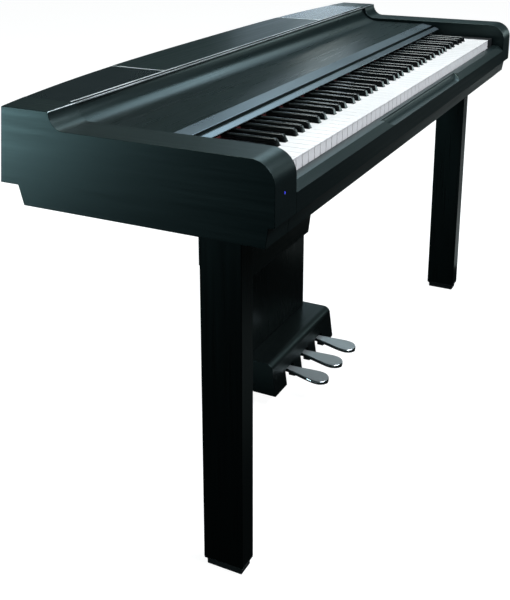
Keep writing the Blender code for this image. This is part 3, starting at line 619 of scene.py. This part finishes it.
# ------------ top
LIP_FRONT = 0.3465  # front of the channel before the top panels
RAIL_FRONT, RAIL_BACK = 0.3572, 0.3600  # the silver line behind the channel
CHANNEL_FLOOR = 0.0580


def top_outline(x_start, x_end, steps):
    """Plan of a top panel, from behind the channel to the bowed rear edge."""
    outline = [(x_start, RAIL_BACK + GAP), (x_end, RAIL_BACK + GAP)]
    for i in range(steps + 1):
        x = x_end + (x_start - x_end) * i / steps
        outline.append((x, REAR - LEAN + bow(x)))
    return outline


def add_plan(bm, outline, heights):
    add_loops(bm, [[(x, *world(depth, h)) for x, depth in outline] for h in heights])


def make_top():
    thick = 0.004
    low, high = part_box("top_panel")
    bm = bmesh.new()
    add_plan(bm, top_outline(low[0], high[0], 40), (TOP - thick, TOP))
    piece("top_centre_panel", bm, "case_x", "case", ("top_panel",), 0.0006, 2)
    for side, _ in SIDES:
        low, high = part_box(f"{side}_speaker_grille")
        bm = bmesh.new()
        add_plan(bm, top_outline(low[0], high[0], 28), (TOP - thick, TOP - 0.0004))
        piece(f"grille_{side}", bm, "grille", "case", (f"{side}_speaker_grille",), 0.0006, 2)
        low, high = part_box(f"{side}_divider")
        bm = bmesh.new()
        add_box(bm, (low[0], world(RAIL_BACK + GAP, 0)[0], low[2]), high)
        piece(f"divider_{side}", bm, "divider", "case", (f"{side}_divider",), 0.0005, 3)
    refine("speaker_board", "stand_x", 0.0006, segments=2)
    make_channel()


def make_channel():
    """The black channel before the top panels, between a silver lip and a silver line."""
    lip_back, cap, nick = 0.3480, TOP - 0.0022, 0.0003
    lip = ((LIP_FRONT, cap), (lip_back, cap), (lip_back, TOP - 0.0004), (lip_back - nick, TOP),
           (LIP_FRONT + nick, TOP), (LIP_FRONT, TOP - nick))
    inside, bed = CHANNEL_FLOOR + 0.0016, RAIL_FRONT + 0.0002
    trough = ((LIP_FRONT, CHANNEL_FLOOR), (RAIL_BACK, CHANNEL_FLOOR), (RAIL_BACK, TOP - 0.0012),
              (bed, TOP - 0.0012), (bed, inside), (lip_back + 0.0002, inside),
              (lip_back + 0.0002, cap - 0.0002), (LIP_FRONT, cap - 0.0002))
    line = ((RAIL_FRONT, TOP - 0.0011), (RAIL_BACK, TOP - 0.0011), (RAIL_BACK, TOP - nick),
            (RAIL_BACK - nick, TOP), (RAIL_FRONT + 0.0004, TOP), (RAIL_FRONT, TOP - 0.0004))
    for name, section, surface, replaced in (("channel_front_lip", lip, "silver", ("rest_channel_rail",)),
                                             ("channel_bed", trough, "groove", ()),
                                             ("channel_rear_line", line, "silver", ())):
        bm = bmesh.new()
        add_section(bm, section, -FIT, FIT)
        piece(name, bm, surface, "case", replaced)


def make_deck():
    centre = (0.306, 0.0577)
    deck, underside, start = 0.0258, 0.0206, 0.1852
    cove = arc(centre, (0.046, centre[1] - deck), -90, 0, 36)
    under = arc(centre, (0.0515, centre[1] - underside), 0, -90, 24)
    section = [(start, underside + 0.0001), (start, deck - 0.0002)] + cove + under
    bm = bmesh.new()
    add_section(bm, section, -FIT, FIT)
    piece("deck_board", bm, "deck", "case", ("deck_panel",), 0.0005, 2, 35)
    back = start - 0.0002
    nosing = ((back, 0.0212), (back, 0.0257), (back - 0.0010, deck), (0.1598, 0.0221), (0.1591, 0.0218),
              (0.1589, 0.0214), (0.1594, 0.0212))
    bm = bmesh.new()
    add_section(bm, nosing, -FIT, FIT)
    # the nosing's pale metal is a painted reflection of the lamps on this sloping strip
    piece("deck_nosing", bm, "nosing", angle=7)
    rail = ((back, 0.0207), (back, 0.0211), (0.1594, 0.0211), (0.1586, 0.0219), (0.1580, 0.0212),
            (0.1584, 0.0207))
    bm = bmesh.new()
    add_section(bm, rail, -FIT, FIT)
    piece("deck_front_rail", bm, "groove", angle=20)


def make_cover():
    """The sliding key cover: a thin board behind a slanted, rounded lip."""
    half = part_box("key_cover")[1][0]
    under, crest = 0.0136, 0.0197
    lip = ((0.1392, under + 0.0002), (0.1385, under + 0.0009), (0.1388, under + 0.0016), (0.1478, 0.0193),
           (0.1482, 0.0196), (0.1488, crest), (0.1500, crest), (0.1505, 0.0193), (0.1506, under + 0.0020),
           (0.1505, under))
    bm = bmesh.new()
    add_section(bm, lip, -half, half)
    # the lip's pale metal is a painted reflection of the lamps on its slanted face
    piece("cover_lip", bm, "nosing", "key_cover", ("key_cover",), angle=9)
    front, step, back = 0.1508, 0.1600, 0.333
    board = ((front, 0.0142), (front, 0.0160), (step, 0.0164), (step, crest), (back, crest), (back, 0.0157),
             (step, 0.0157), (step, 0.0142))
    bm = bmesh.new()
    add_section(bm, board, -half, half)
    piece("cover_board", bm, "cover", "key_cover", (), 0.0003, 2)
    refine("cover_tray", "steel", 0.0003, segments=2)


def make_felt():
    """The red band behind the keys, with a slightly wavy front edge."""
    low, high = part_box("felt_strip")
    stations, wander, round_over = 400, 0.00022, 0.0012
    loops = []
    for i in range(stations + 1):
        x = low[0] + (high[0] - low[0]) * i / stations
        wave = wander * (math.sin(i * 1.7) + math.sin(i * 0.63 + 1.1)) / 2
        front, back = low[1] + 0.0003 + wave, high[1]
        floor, top = low[2], high[2] - 0.0040 + wave * 0.5
        section = ((front, floor), (back, floor), (back, top - round_over), (back - round_over, top),
                   (front + round_over, top), (front + round_over * 0.3, top - round_over * 0.3),
                   (front, top - round_over))
        loops.append([(x, y, z) for y, z in section])
    bm = bmesh.new()
    add_loops(bm, loops)
    piece("felt_band", bm, "felt", "case", ("felt_strip",), angle=50)
    refine("felt_rail", "steel", 0.0004, segments=2)


# ------------ keyboard
KEY_SEAM = 0.0005  # half the gap between two white keys
SHOULDER, TAIL_END = 0.0483, 0.243  # depths of a white key's step and of its end
CLEARANCE = 0.00735  # half the slot that a black key stands in


def octave_left(number):
    """Left edge of an octave's C."""
    return FIRST_C + (number - 1) * 7 * PITCH


def white_outline(left, note, first, last, front, side):
    """Plan of a white key, set back by front at its front edge and by side along its flanks."""
    start, end = left + KEY_SEAM, left + PITCH - KEY_SEAM
    base = left - WHITES.index(note) * PITCH
    tail_start, tail_end = start, end
    for centre in SHARPS.values():
        low, high = base + centre - CLEARANCE, base + centre + CLEARANCE
        if not first and low < start < high:
            tail_start = high
        if not last and low < end < high:
            tail_end = low
    points = [(start + side, front), (end - side, front)]
    if tail_end < end:
        points += [(end - side, SHOULDER - side), (tail_end - side, SHOULDER - side)]
    points += [(tail_end - side, TAIL_END), (tail_start + side, TAIL_END)]
    if tail_start > start:
        points += [(tail_start + side, SHOULDER - side), (start + side, SHOULDER - side)]
    return points


def add_white(bm, left, note, first=False, last=False):
    """A white key: a thin top plate that overhangs its body a little in front."""
    levels = ((0.0009, 0.0004, -0.0215), (0.0009, 0.0004, -0.0030), (0.0, 0.0, -0.0024), (0.0, 0.0, 0.0))
    loops = []
    for front, side, height in levels:
        outline = white_outline(left, note, first, last, front, side)
        loops.append([(x, *world(depth, height)) for x, depth in outline])
    add_loops(bm, loops)


def add_black(bm, centre):
    """A black key: tapered flanks, rounded shoulders and a sloping nose."""
    wide, narrow, tall = 0.0062, 0.0047, 0.0115
    stations = ((0.0495, 0.0003), (0.0498, 0.0010), (0.0528, 0.0095), (0.0531, 0.0102), (0.0537, 0.0108),
                (0.0543, 0.0112), (0.0550, 0.01143), (0.0557, tall), (0.100, tall), (0.1460, tall),
                (0.1467, 0.0112), (0.1470, 0.0105), (0.1470, 0.0003), (0.2375, 0.0003))
    loops = []
    for depth, top in stations:
        half_top = wide + (narrow - wide) * top / tall
        radius = min(0.0026, top * 0.6 + 0.00005)
        right = [(wide, -0.0215), (wide, -0.0006), (wide - 0.0001, 0.0)]
        for i in range(6):
            angle = math.radians(8 + 82 * i / 5)
            right.append((half_top - radius + radius * math.cos(angle),
                          top - radius + radius * math.sin(angle)))
        ring = right + [(-x, z) for x, z in reversed(right)]
        y = world(depth, 0)[0]
        loops.append([(centre + x, y, KEY_TOP + z) for x, z in ring])
    add_loops(bm, loops)


def in_range(number, note):
    """Whether a note is one of the 88 keys, which run from A in octave 0 to C in octave 8."""
    if number == 0:
        return note in ("a", "b", "a_sharp")
    return number < 8 or note == "c"


def make_keys():
    """The middle octave's keys one by one, the others as a low bank and a high bank."""
    for index, note in enumerate(WHITES):
        bm = bmesh.new()
        add_white(bm, octave_left(4) + index * PITCH, note)
        key = f"key_{note}4"
        piece(f"white_key_{note}4", bm, "ivory", key, (key,), 0.00045, 3)
    for note, offset in SHARPS.items():
        bm = bmesh.new()
        add_black(bm, octave_left(4) + offset)
        key = f"key_{note}4"
        piece(f"black_key_{note}4", bm, "ebony", key, (key,), angle=28)
    for label, octaves in (("low", (0, 1, 2, 3)), ("high", (5, 6, 7, 8))):
        whites, blacks = bmesh.new(), bmesh.new()
        for number in octaves:
            left = octave_left(number)
            for index, note in enumerate(WHITES):
                if in_range(number, note):
                    add_white(whites, left + index * PITCH, note, (number, note) == (0, "a"), number == 8)
            for note, offset in SHARPS.items():
                if in_range(number, note):
                    add_black(blacks, left + offset)
        key = f"white_keys_{label}"
        piece(f"white_key_bank_{label}", whites, "ivory", key, (key,), 0.00045, 3)
        key = f"black_keys_{label}"
        piece(f"black_key_bank_{label}", blacks, "ebony", key, (key,), angle=28)
    for source, width in (("key_frame", 0.0005), ("key_pivot_rod", 0.0002)):
        refine(source, "steel", width, segments=2)


def make_end_blocks():
    for side, _ in SIDES:
        refine(f"{side}_end_block", "plastic", 0.0008)
    button = "power_button"
    bm = bmesh.new()
    add_box(bm, *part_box(button))
    piece("power_button_cap", bm, "plastic", button, (button,), 0.0009, 4)
    refine("volume_slider", "plastic", 0.0006, body="volume_slider")


# ------------ stand
# a rubber foot from the floor up: each height with its inset
FOOT_RISES = ((0.0, 0.0052), (0.0008, 0.0043), (0.0020, 0.0040), (0.0080, 0.0040), (0.0098, 0.0037),
              (0.0114, 0.0028), (0.0126, 0.0014), (0.0134, 0.0004), (0.0147, 0.0002))
PLATE = 0.003  # thickness of the metal brackets


def make_stand():
    for side, _ in SIDES:
        leg = f"{side}_leg"
        bm = bmesh.new()
        add_box(bm, *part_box(leg))
        piece(f"leg_post_{side}", bm, "stand_z", "case", (leg,), 0.0013, 4)
        low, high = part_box(f"{side}_foot")
        loops = []
        for rise, inset in FOOT_RISES:
            x0, y0, x1, y1 = low[0] + inset, low[1] + inset, high[0] - inset, high[1] - inset
            loops.append([(x0, y0, rise), (x1, y0, rise), (x1, y1, rise), (x0, y1, rise)])
        bm = bmesh.new()
        add_loops(bm, loops)
        piece(f"foot_{side}", bm, "rubber", "case", (f"{side}_foot",), 0.0008, 3, 50)
        make_bracket(side)
    refine("column_head", "stand_x", 0.0009)
    refine("pedal_column", "stand_z", 0.0009)
    refine("base_board", "stand_x", 0.0008)
    make_underside()


def make_bracket(side):
    """Angle plate behind a leg, with a filleted bend and four screws."""
    low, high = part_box(f"{side}_leg")
    back, top = high[1] + GAP, high[2] - 0.0002
    face, under = back + PLATE, top - PLATE
    section = ((back, top - 0.075), (face, top - 0.075), (face, under - 0.004),
               (face + 0.0012, under - 0.0012), (face + 0.004, under),
               (back + 0.050, under), (back + 0.050, top), (back, top))
    start, end = low[0] + 0.004, high[0] - 0.004
    bm = bmesh.new()
    add_loops(bm, [[(x, y, z) for y, z in section] for x in (start, end)])
    piece(f"leg_bracket_{side}", bm, "plastic", bevel=0.0005, segments=2)
    middle = (start + end) / 2
    for i, drop in enumerate((0.028, 0.060)):
        make_screw(f"leg_screw_{side}_{i + 1}", (middle, face, top - drop), "Y", 1, 0.0045)
    for i, run in enumerate((0.022, 0.040)):
        make_screw(f"bracket_screw_{side}_{i + 1}", (middle, back + run, under), "Z", -1, 0.0045)


def make_underside():
    """Screws under the base board, and brackets and plates behind the column's head."""
    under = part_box("base_board")[0][2]
    places = [(x, depth) for x in (-0.560, -0.380, -0.130, 0.130, 0.380, 0.560)
              for depth in (0.060, 0.350) if abs(x) > 0.2 or depth < 0.3]
    for i, (x, depth) in enumerate(places):
        make_screw(f"base_screw_{i + 1}", (x, world(depth, 0)[0], under - 0.0001), "Z", -1, 0.0045)
    back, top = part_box("column_head")[1][1] + GAP, under - 0.0002
    face, reach = back + PLATE, 0.040
    section = ((back, top - reach), (face, top - reach), (face, top - PLATE), (back + reach, top - PLATE),
               (back + reach, top), (back, top))
    for i, middle in enumerate((-0.200, -0.070, 0.070, 0.200)):
        bm = bmesh.new()
        add_loops(bm, [[(x, y, z) for y, z in section] for x in (middle - 0.014, middle + 0.014)])
        piece(f"head_bracket_{i + 1}", bm, "plastic", bevel=0.0005, segments=2)
        make_screw(f"head_screw_{i + 1}", (middle, face, top - 0.024), "Y", 1, 0.0042)
    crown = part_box("pedal_column")[1][2]
    for i, x in enumerate((-0.110, 0.0, 0.110)):
        bm = bmesh.new()
        add_box(bm, (x - 0.015, back, crown + 0.018), (x + 0.015, face, crown + 0.052))
        piece(f"column_plate_{i + 1}", bm, "plastic", bevel=0.0006, segments=2)
        make_screw(f"column_screw_{i + 1}", (x, face, crown + 0.035), "Y", 1, 0.0042)


PEDAL_SPACING = 0.0825


def make_pedal_box():
    """A hollow box with a leaning, rounded front and a notch for each pedal."""
    low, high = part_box("pedal_box")
    front, top = low[1], high[2]
    lean, radius, wall = 0.008, 0.016, 0.008
    brow = front + lean
    section = arc((brow + radius, top - radius), (radius, radius), 90, 180, 20)
    section += [(front, low[2]), (high[1], low[2]), (high[1], top)]
    bm = bmesh.new()
    add_loops(bm, [[(x, y, z) for y, z in section] for x in (low[0], high[0])])
    box = piece("pedal_box_shell", bm, "stand_x", "case", ("pedal_box",), 0.0010, 3, 30)
    past = low[2] - 0.01
    hollow = bmesh.new()
    add_box(hollow, (low[0] + wall, brow + wall, past), (high[0] - wall, high[1] - wall, top - wall))
    cutters = [hollow]
    half, crown, corner = 0.021, world(0, -0.640)[1], 0.004
    rounded = arc((half - corner, crown - corner), (corner, corner), 0, 90, 4)
    outline = [(-half, past), (half, past)] + rounded + [(-x, z) for x, z in reversed(rounded)]
    for index in (-1, 0, 1):
        notch = bmesh.new()
        add_loops(notch, [[(index * PEDAL_SPACING + x, y, z) for x, z in outline]
                          for y in (front - 0.01, brow + wall + 0.002)])
        cutters.append(notch)
    subtract(box, *cutters)
    refine("pedal_rod", "steel", 0.0003, segments=2)
    refine("pedal_floor_plate", "steel", 0.0004, segments=2)
    for side, _ in SIDES:
        make_screw_foot(side)


def make_screw_foot(side):
    """A turned rubber pad on a threaded rod."""
    low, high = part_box(f"{side}_screw_foot")
    profile = [(0.0125, 0.0), (0.0136, 0.0006), (0.0140, 0.0016), (0.0140, 0.0085), (0.0134, 0.0098),
               (0.0110, 0.0118), (0.0060, 0.0130), (0.0045, 0.0132)]
    crest, root, lead = 0.0045, 0.0041, 0.0012
    for i in range(int((high[2] - 0.0140) / lead)):
        z = 0.0138 + i * lead
        profile += [(crest, z), (root, z + lead / 2)]
    profile.append((crest, high[2] - 0.0002))
    bm = bmesh.new()
    add_turned(bm, ((low[0] + high[0]) / 2, (low[1] + high[1]) / 2, 0.0), profile, "Z", 36)
    foot = f"{side}_screw_foot"
    piece(f"screw_foot_{side}", bm, "rubber", "case", (foot,), angle=40)


def pedal_half_width(depth):
    """Half the width of a pedal: a straight neck that flares into the paddle, then a round tip."""
    neck, paddle, tip = 0.0105, 0.0240, 0.140
    flare_start, flare_end, round_length = 0.232, 0.168, 0.0225
    if depth >= flare_start:
        return neck
    if depth > flare_end:
        share = (flare_start - depth) / (flare_start - flare_end)
        return neck + (paddle - neck) * (0.75 * share + 0.25 * share * share * (3 - 2 * share))
    if depth > tip + round_length:
        return paddle
    share = (depth - tip) / round_length
    return paddle * math.sqrt(max(0.0, 1 - (1 - share) ** 2.15))


# a pedal's stations along its length
PEDAL_DEPTHS = (0.300, 0.2992, 0.290, 0.26, 0.24, *(0.235 - 0.004 * i for i in range(17)), 0.1685, 0.1640,
                0.1600, 0.1565, 0.1535, 0.1505, 0.1475, 0.1450, 0.1430, 0.1415, 0.1406, 0.1401)
# its section: insets above and shares of its half width below, each with a share of its thickness
PEDAL_UPPER = ((0.0, -0.50), (0.0001, -0.27), (0.0005, -0.14), (0.0011, -0.05), (0.0019, -0.01),
               (0.0026, 0.0))
PEDAL_LOWER = ((1.0, -0.62), (0.96, -0.80), (0.84, -0.93), (0.60, -1.0), (0.25, -1.0))


def pedal_section(depth):
    """A flat-topped oval, as offsets from the pedal's middle and heights over the keys."""
    half = max(0.0016, pedal_half_width(depth)) - (0.001 if depth == PEDAL_DEPTHS[0] else 0.0)
    sink = min(1.0, max(0.0, (0.235 - depth) / 0.095))
    top, thick = -0.6425 - 0.0075 * sink, 0.0088
    right = [(half * share, top + drop * thick) for share, drop in reversed(PEDAL_LOWER)]
    right += [(max(0.0004, half - inset), top + drop * thick) for inset, drop in PEDAL_UPPER]
    right += [((half - PEDAL_UPPER[-1][0]) * share, top) for share in (0.6, 0.3)]
    return right + [(-x, z) for x, z in reversed(right)]


def make_pedals():
    """Each pedal is lofted along its length; its sides and rounded edges get a brighter, glossier metal, a
    painted highlight for the rim's reflections.
    """
    flat = 0.98
    for label in ("left", "centre", "right"):
        pedal = f"{label}_pedal"
        low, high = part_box(pedal)
        middle = (low[0] + high[0]) / 2
        bm = bmesh.new()
        add_loops(bm, [[(middle + x, *world(depth, z)) for x, z in pedal_section(depth)]
                       for depth in PEDAL_DEPTHS])
        made = piece(f"pedal_{label}", bm, "chrome", pedal, (pedal,), angle=42)
        made.data.materials.append(MATERIALS["rim"])
        # faces that do not lie flat on top take the brighter metal, a painted highlight along the rim
        for face in made.data.polygons:
            face.material_index = int(face.normal.z < flat)


# ------------ inside
def make_inside():
    for side, _ in SIDES:
        refine(f"{side}_speaker", "paper", 0.0004, segments=2)
    refine("main_board", "circuit", 0.0002, segments=2)
    refine("power_supply", "steel", 0.0010)


# ------------ studio
# place, size, power and colour of the soft lights that are aimed at the keyboard's middle
SOFTBOXES = (
    ("overhead_key", (0.5, 0.50, 3.3), (0.9, 0.75), 47.0, (0.94, 1.0, 0.97)),
    ("overhead_soft", (0.0, 0.1, 3.4), (4.6, 3.2), 20.0, (0.80, 1.0, 0.97)),
    ("front_overhead_soft", (0.3, -2.2, 2.9), (3.0, 1.2), 128.0, (0.87, 0.93, 1.0)),
    ("front_treble_low", (2.7, -1.25, 0.95), (0.9, 0.35), 2.2, (0.80, 1.0, 1.0)),
    ("front_treble_near", (1.3, -0.556, 1.143), (0.3, 0.3), 0.17, (0.80, 1.0, 1.0)),
    ("treble_high", (2.9, 0.65, 2.9), (1.3, 1.0), 9.8, (0.64, 0.86, 1.0)),
    ("treble_high_far", (4.4, 0.7, 3.6), (1.8, 1.4), 4.0, (0.70, 0.97, 1.0)),
    ("treble_cove", (3.9, 0.6, 2.5), (0.8, 0.6), 0.6, (0.9, 1.0, 0.9)),
    ("treble_low", (3.9, 1.75, 1.15), (0.8, 0.4), 1.9, (0.68, 0.85, 1.0)),
    ("treble_glint", (3.92, 1.57, 1.64), (0.28, 0.28), 0.45, (0.90, 1.0, 1.0)),
    ("bass_rear_low", (-2.3, 1.95, 0.35), (0.6, 0.6), 16.5, (0.66, 0.92, 1.0)),
)
# the same for the glow that comes back up from the studio's pale floor
FLOOR_LIGHTS = (
    ("floor_glow_near", (-0.2, -0.62, 0.02), (0.8, 0.5), 0.07, (0.85, 1.0, 1.0)),
    ("floor_glow_right", (1.8, -0.30, 0.02), (2.1, 0.2), 0.52, (0.90, 1.0, 1.0)),
    ("floor_glow_leg", (2.05, -0.56, 0.02), (0.9, 0.16), 0.18, (0.90, 1.0, 1.0)),
    ("floor_glow_bass", (-0.42, 0.05, 0.02), (0.35, 0.35), 0.05, (0.80, 0.95, 1.0)),
    ("floor_glow_far", (3.2, -0.28, 0.02), (0.9, 0.3), 1.5, (0.90, 1.0, 1.0)),
    ("floor_glow_rear", (2.7, 0.32, 0.02), (2.6, 0.4), 7.0, (0.95, 1.0, 0.98)),
)


def make_studio():
    scene = bpy.context.scene
    make_floor()
    make_sky(scene)
    scene.view_settings.view_transform = "Standard"
    for name, place, size, power, colour in SOFTBOXES:
        softbox(name, place, (0.0, 0.05, 0.7), size, power, colour)
    for name, place, size, power, colour in FLOOR_LIGHTS:
        softbox(name, place, (place[0], place[1], 1.0), size, power, colour)


def make_floor():
    """Glowing white paper, left out of reflections and of bounced light."""
    reach = 30.0
    corners = ((-reach, -reach, 0.0), (reach, -reach, 0.0), (reach, reach, 0.0), (-reach, reach, 0.0))
    bm = bmesh.new()
    bm.faces.new([bm.verts.new(corner) for corner in corners])
    floor = add_mesh("studio_floor", bm)
    made, tree, shader = blank("studio_floor_paper", Roughness=0.9, Emission_Color=(1.0, 1.0, 1.0, 1.0),
                               Emission_Strength=0.95, Specular_IOR_Level=0.0)
    grain = noise(tree, coordinates(tree, (3.0, 3.0, 3.0)), 1.0, 2.0)
    grey = ramp(tree, grain, ((0.3, (0.30, 0.30, 0.30)), (0.7, (0.32, 0.32, 0.32))))
    tree.links.new(grey, shader.inputs["Base Color"])
    floor.data.materials.append(made)
    floor.visible_glossy = False
    floor.visible_diffuse = False


def make_sky(scene):
    """Dim surroundings that brighten upwards; the camera itself sees white beyond the floor."""
    sky = bpy.data.worlds.new("studio_world")
    scene.world = sky
    sky.use_nodes = True
    tree = sky.node_tree
    back = tree.nodes["Background"]
    place = node(tree, "ShaderNodeTexCoord")
    split = node(tree, "ShaderNodeSeparateXYZ")
    tree.links.new(place.outputs["Generated"], split.inputs["Vector"])
    half = node(tree, "ShaderNodeMath", operation="MULTIPLY_ADD")
    tree.links.new(split.outputs["Z"], half.inputs[0])
    half.inputs[1].default_value = 0.5
    half.inputs[2].default_value = 0.5
    glow = ramp(tree, half.outputs[0], ((0.35, (0.008, 0.010, 0.010)), (0.56, (0.022, 0.036, 0.037)),
                                        (0.80, (0.050, 0.080, 0.080))))
    path = node(tree, "ShaderNodeLightPath")
    tree.links.new(mix(tree, path.outputs["Is Camera Ray"], glow, (1.0, 1.0, 1.0)), back.inputs["Color"])
    back.inputs["Strength"].default_value = 1.0


def softbox(name, place, target, size, power, colour):
    data = bpy.data.lights.new(name, "AREA")
    data.shape = "RECTANGLE"
    data.size, data.size_y = size
    data.energy = power
    data.color = colour
    lamp = add_object(name, data)
    lamp.location = place
    lamp.rotation_euler = (Vector(target) - Vector(place)).to_track_quat("-Z", "Y").to_euler()
    lamp.visible_camera = False


SENSOR = 36.0
FOCAL = 0.95821 / 0.6  # focal length in picture heights
SHIFT = (0.05, -0.24)
CAMERA_PLACE = (-1.83473, -0.77674, 1.09243)
CAMERA_TURN = (-61.93246, -15.91737, -0.4889)  # yaw, pitch and roll in degrees


def make_camera():
    data = bpy.data.cameras.new("photo_camera")
    data.sensor_fit = "AUTO"
    data.sensor_width = SENSOR
    data.lens = FOCAL * SENSOR
    data.shift_x, data.shift_y = SHIFT
    camera = add_object("photo_camera", data)
    yaw, pitch, roll = map(math.radians, CAMERA_TURN)
    camera.rotation_mode = "XYZ"
    forward = Vector((-math.sin(yaw) * math.cos(pitch), math.cos(yaw) * math.cos(pitch), math.sin(pitch)))
    turn = forward.to_track_quat("-Z", "Y").to_matrix().to_4x4()
    camera.matrix_world = Matrix.Translation(CAMERA_PLACE) @ turn @ Matrix.Rotation(roll, 4, "Z")
    bpy.context.scene.camera = camera


make_camera()
make_cheeks()
make_key_slip()
make_rear()
make_top()
make_deck()
make_cover()
make_felt()
make_keys()
make_end_blocks()
make_stand()
make_pedal_box()
make_pedals()
make_inside()
make_studio()
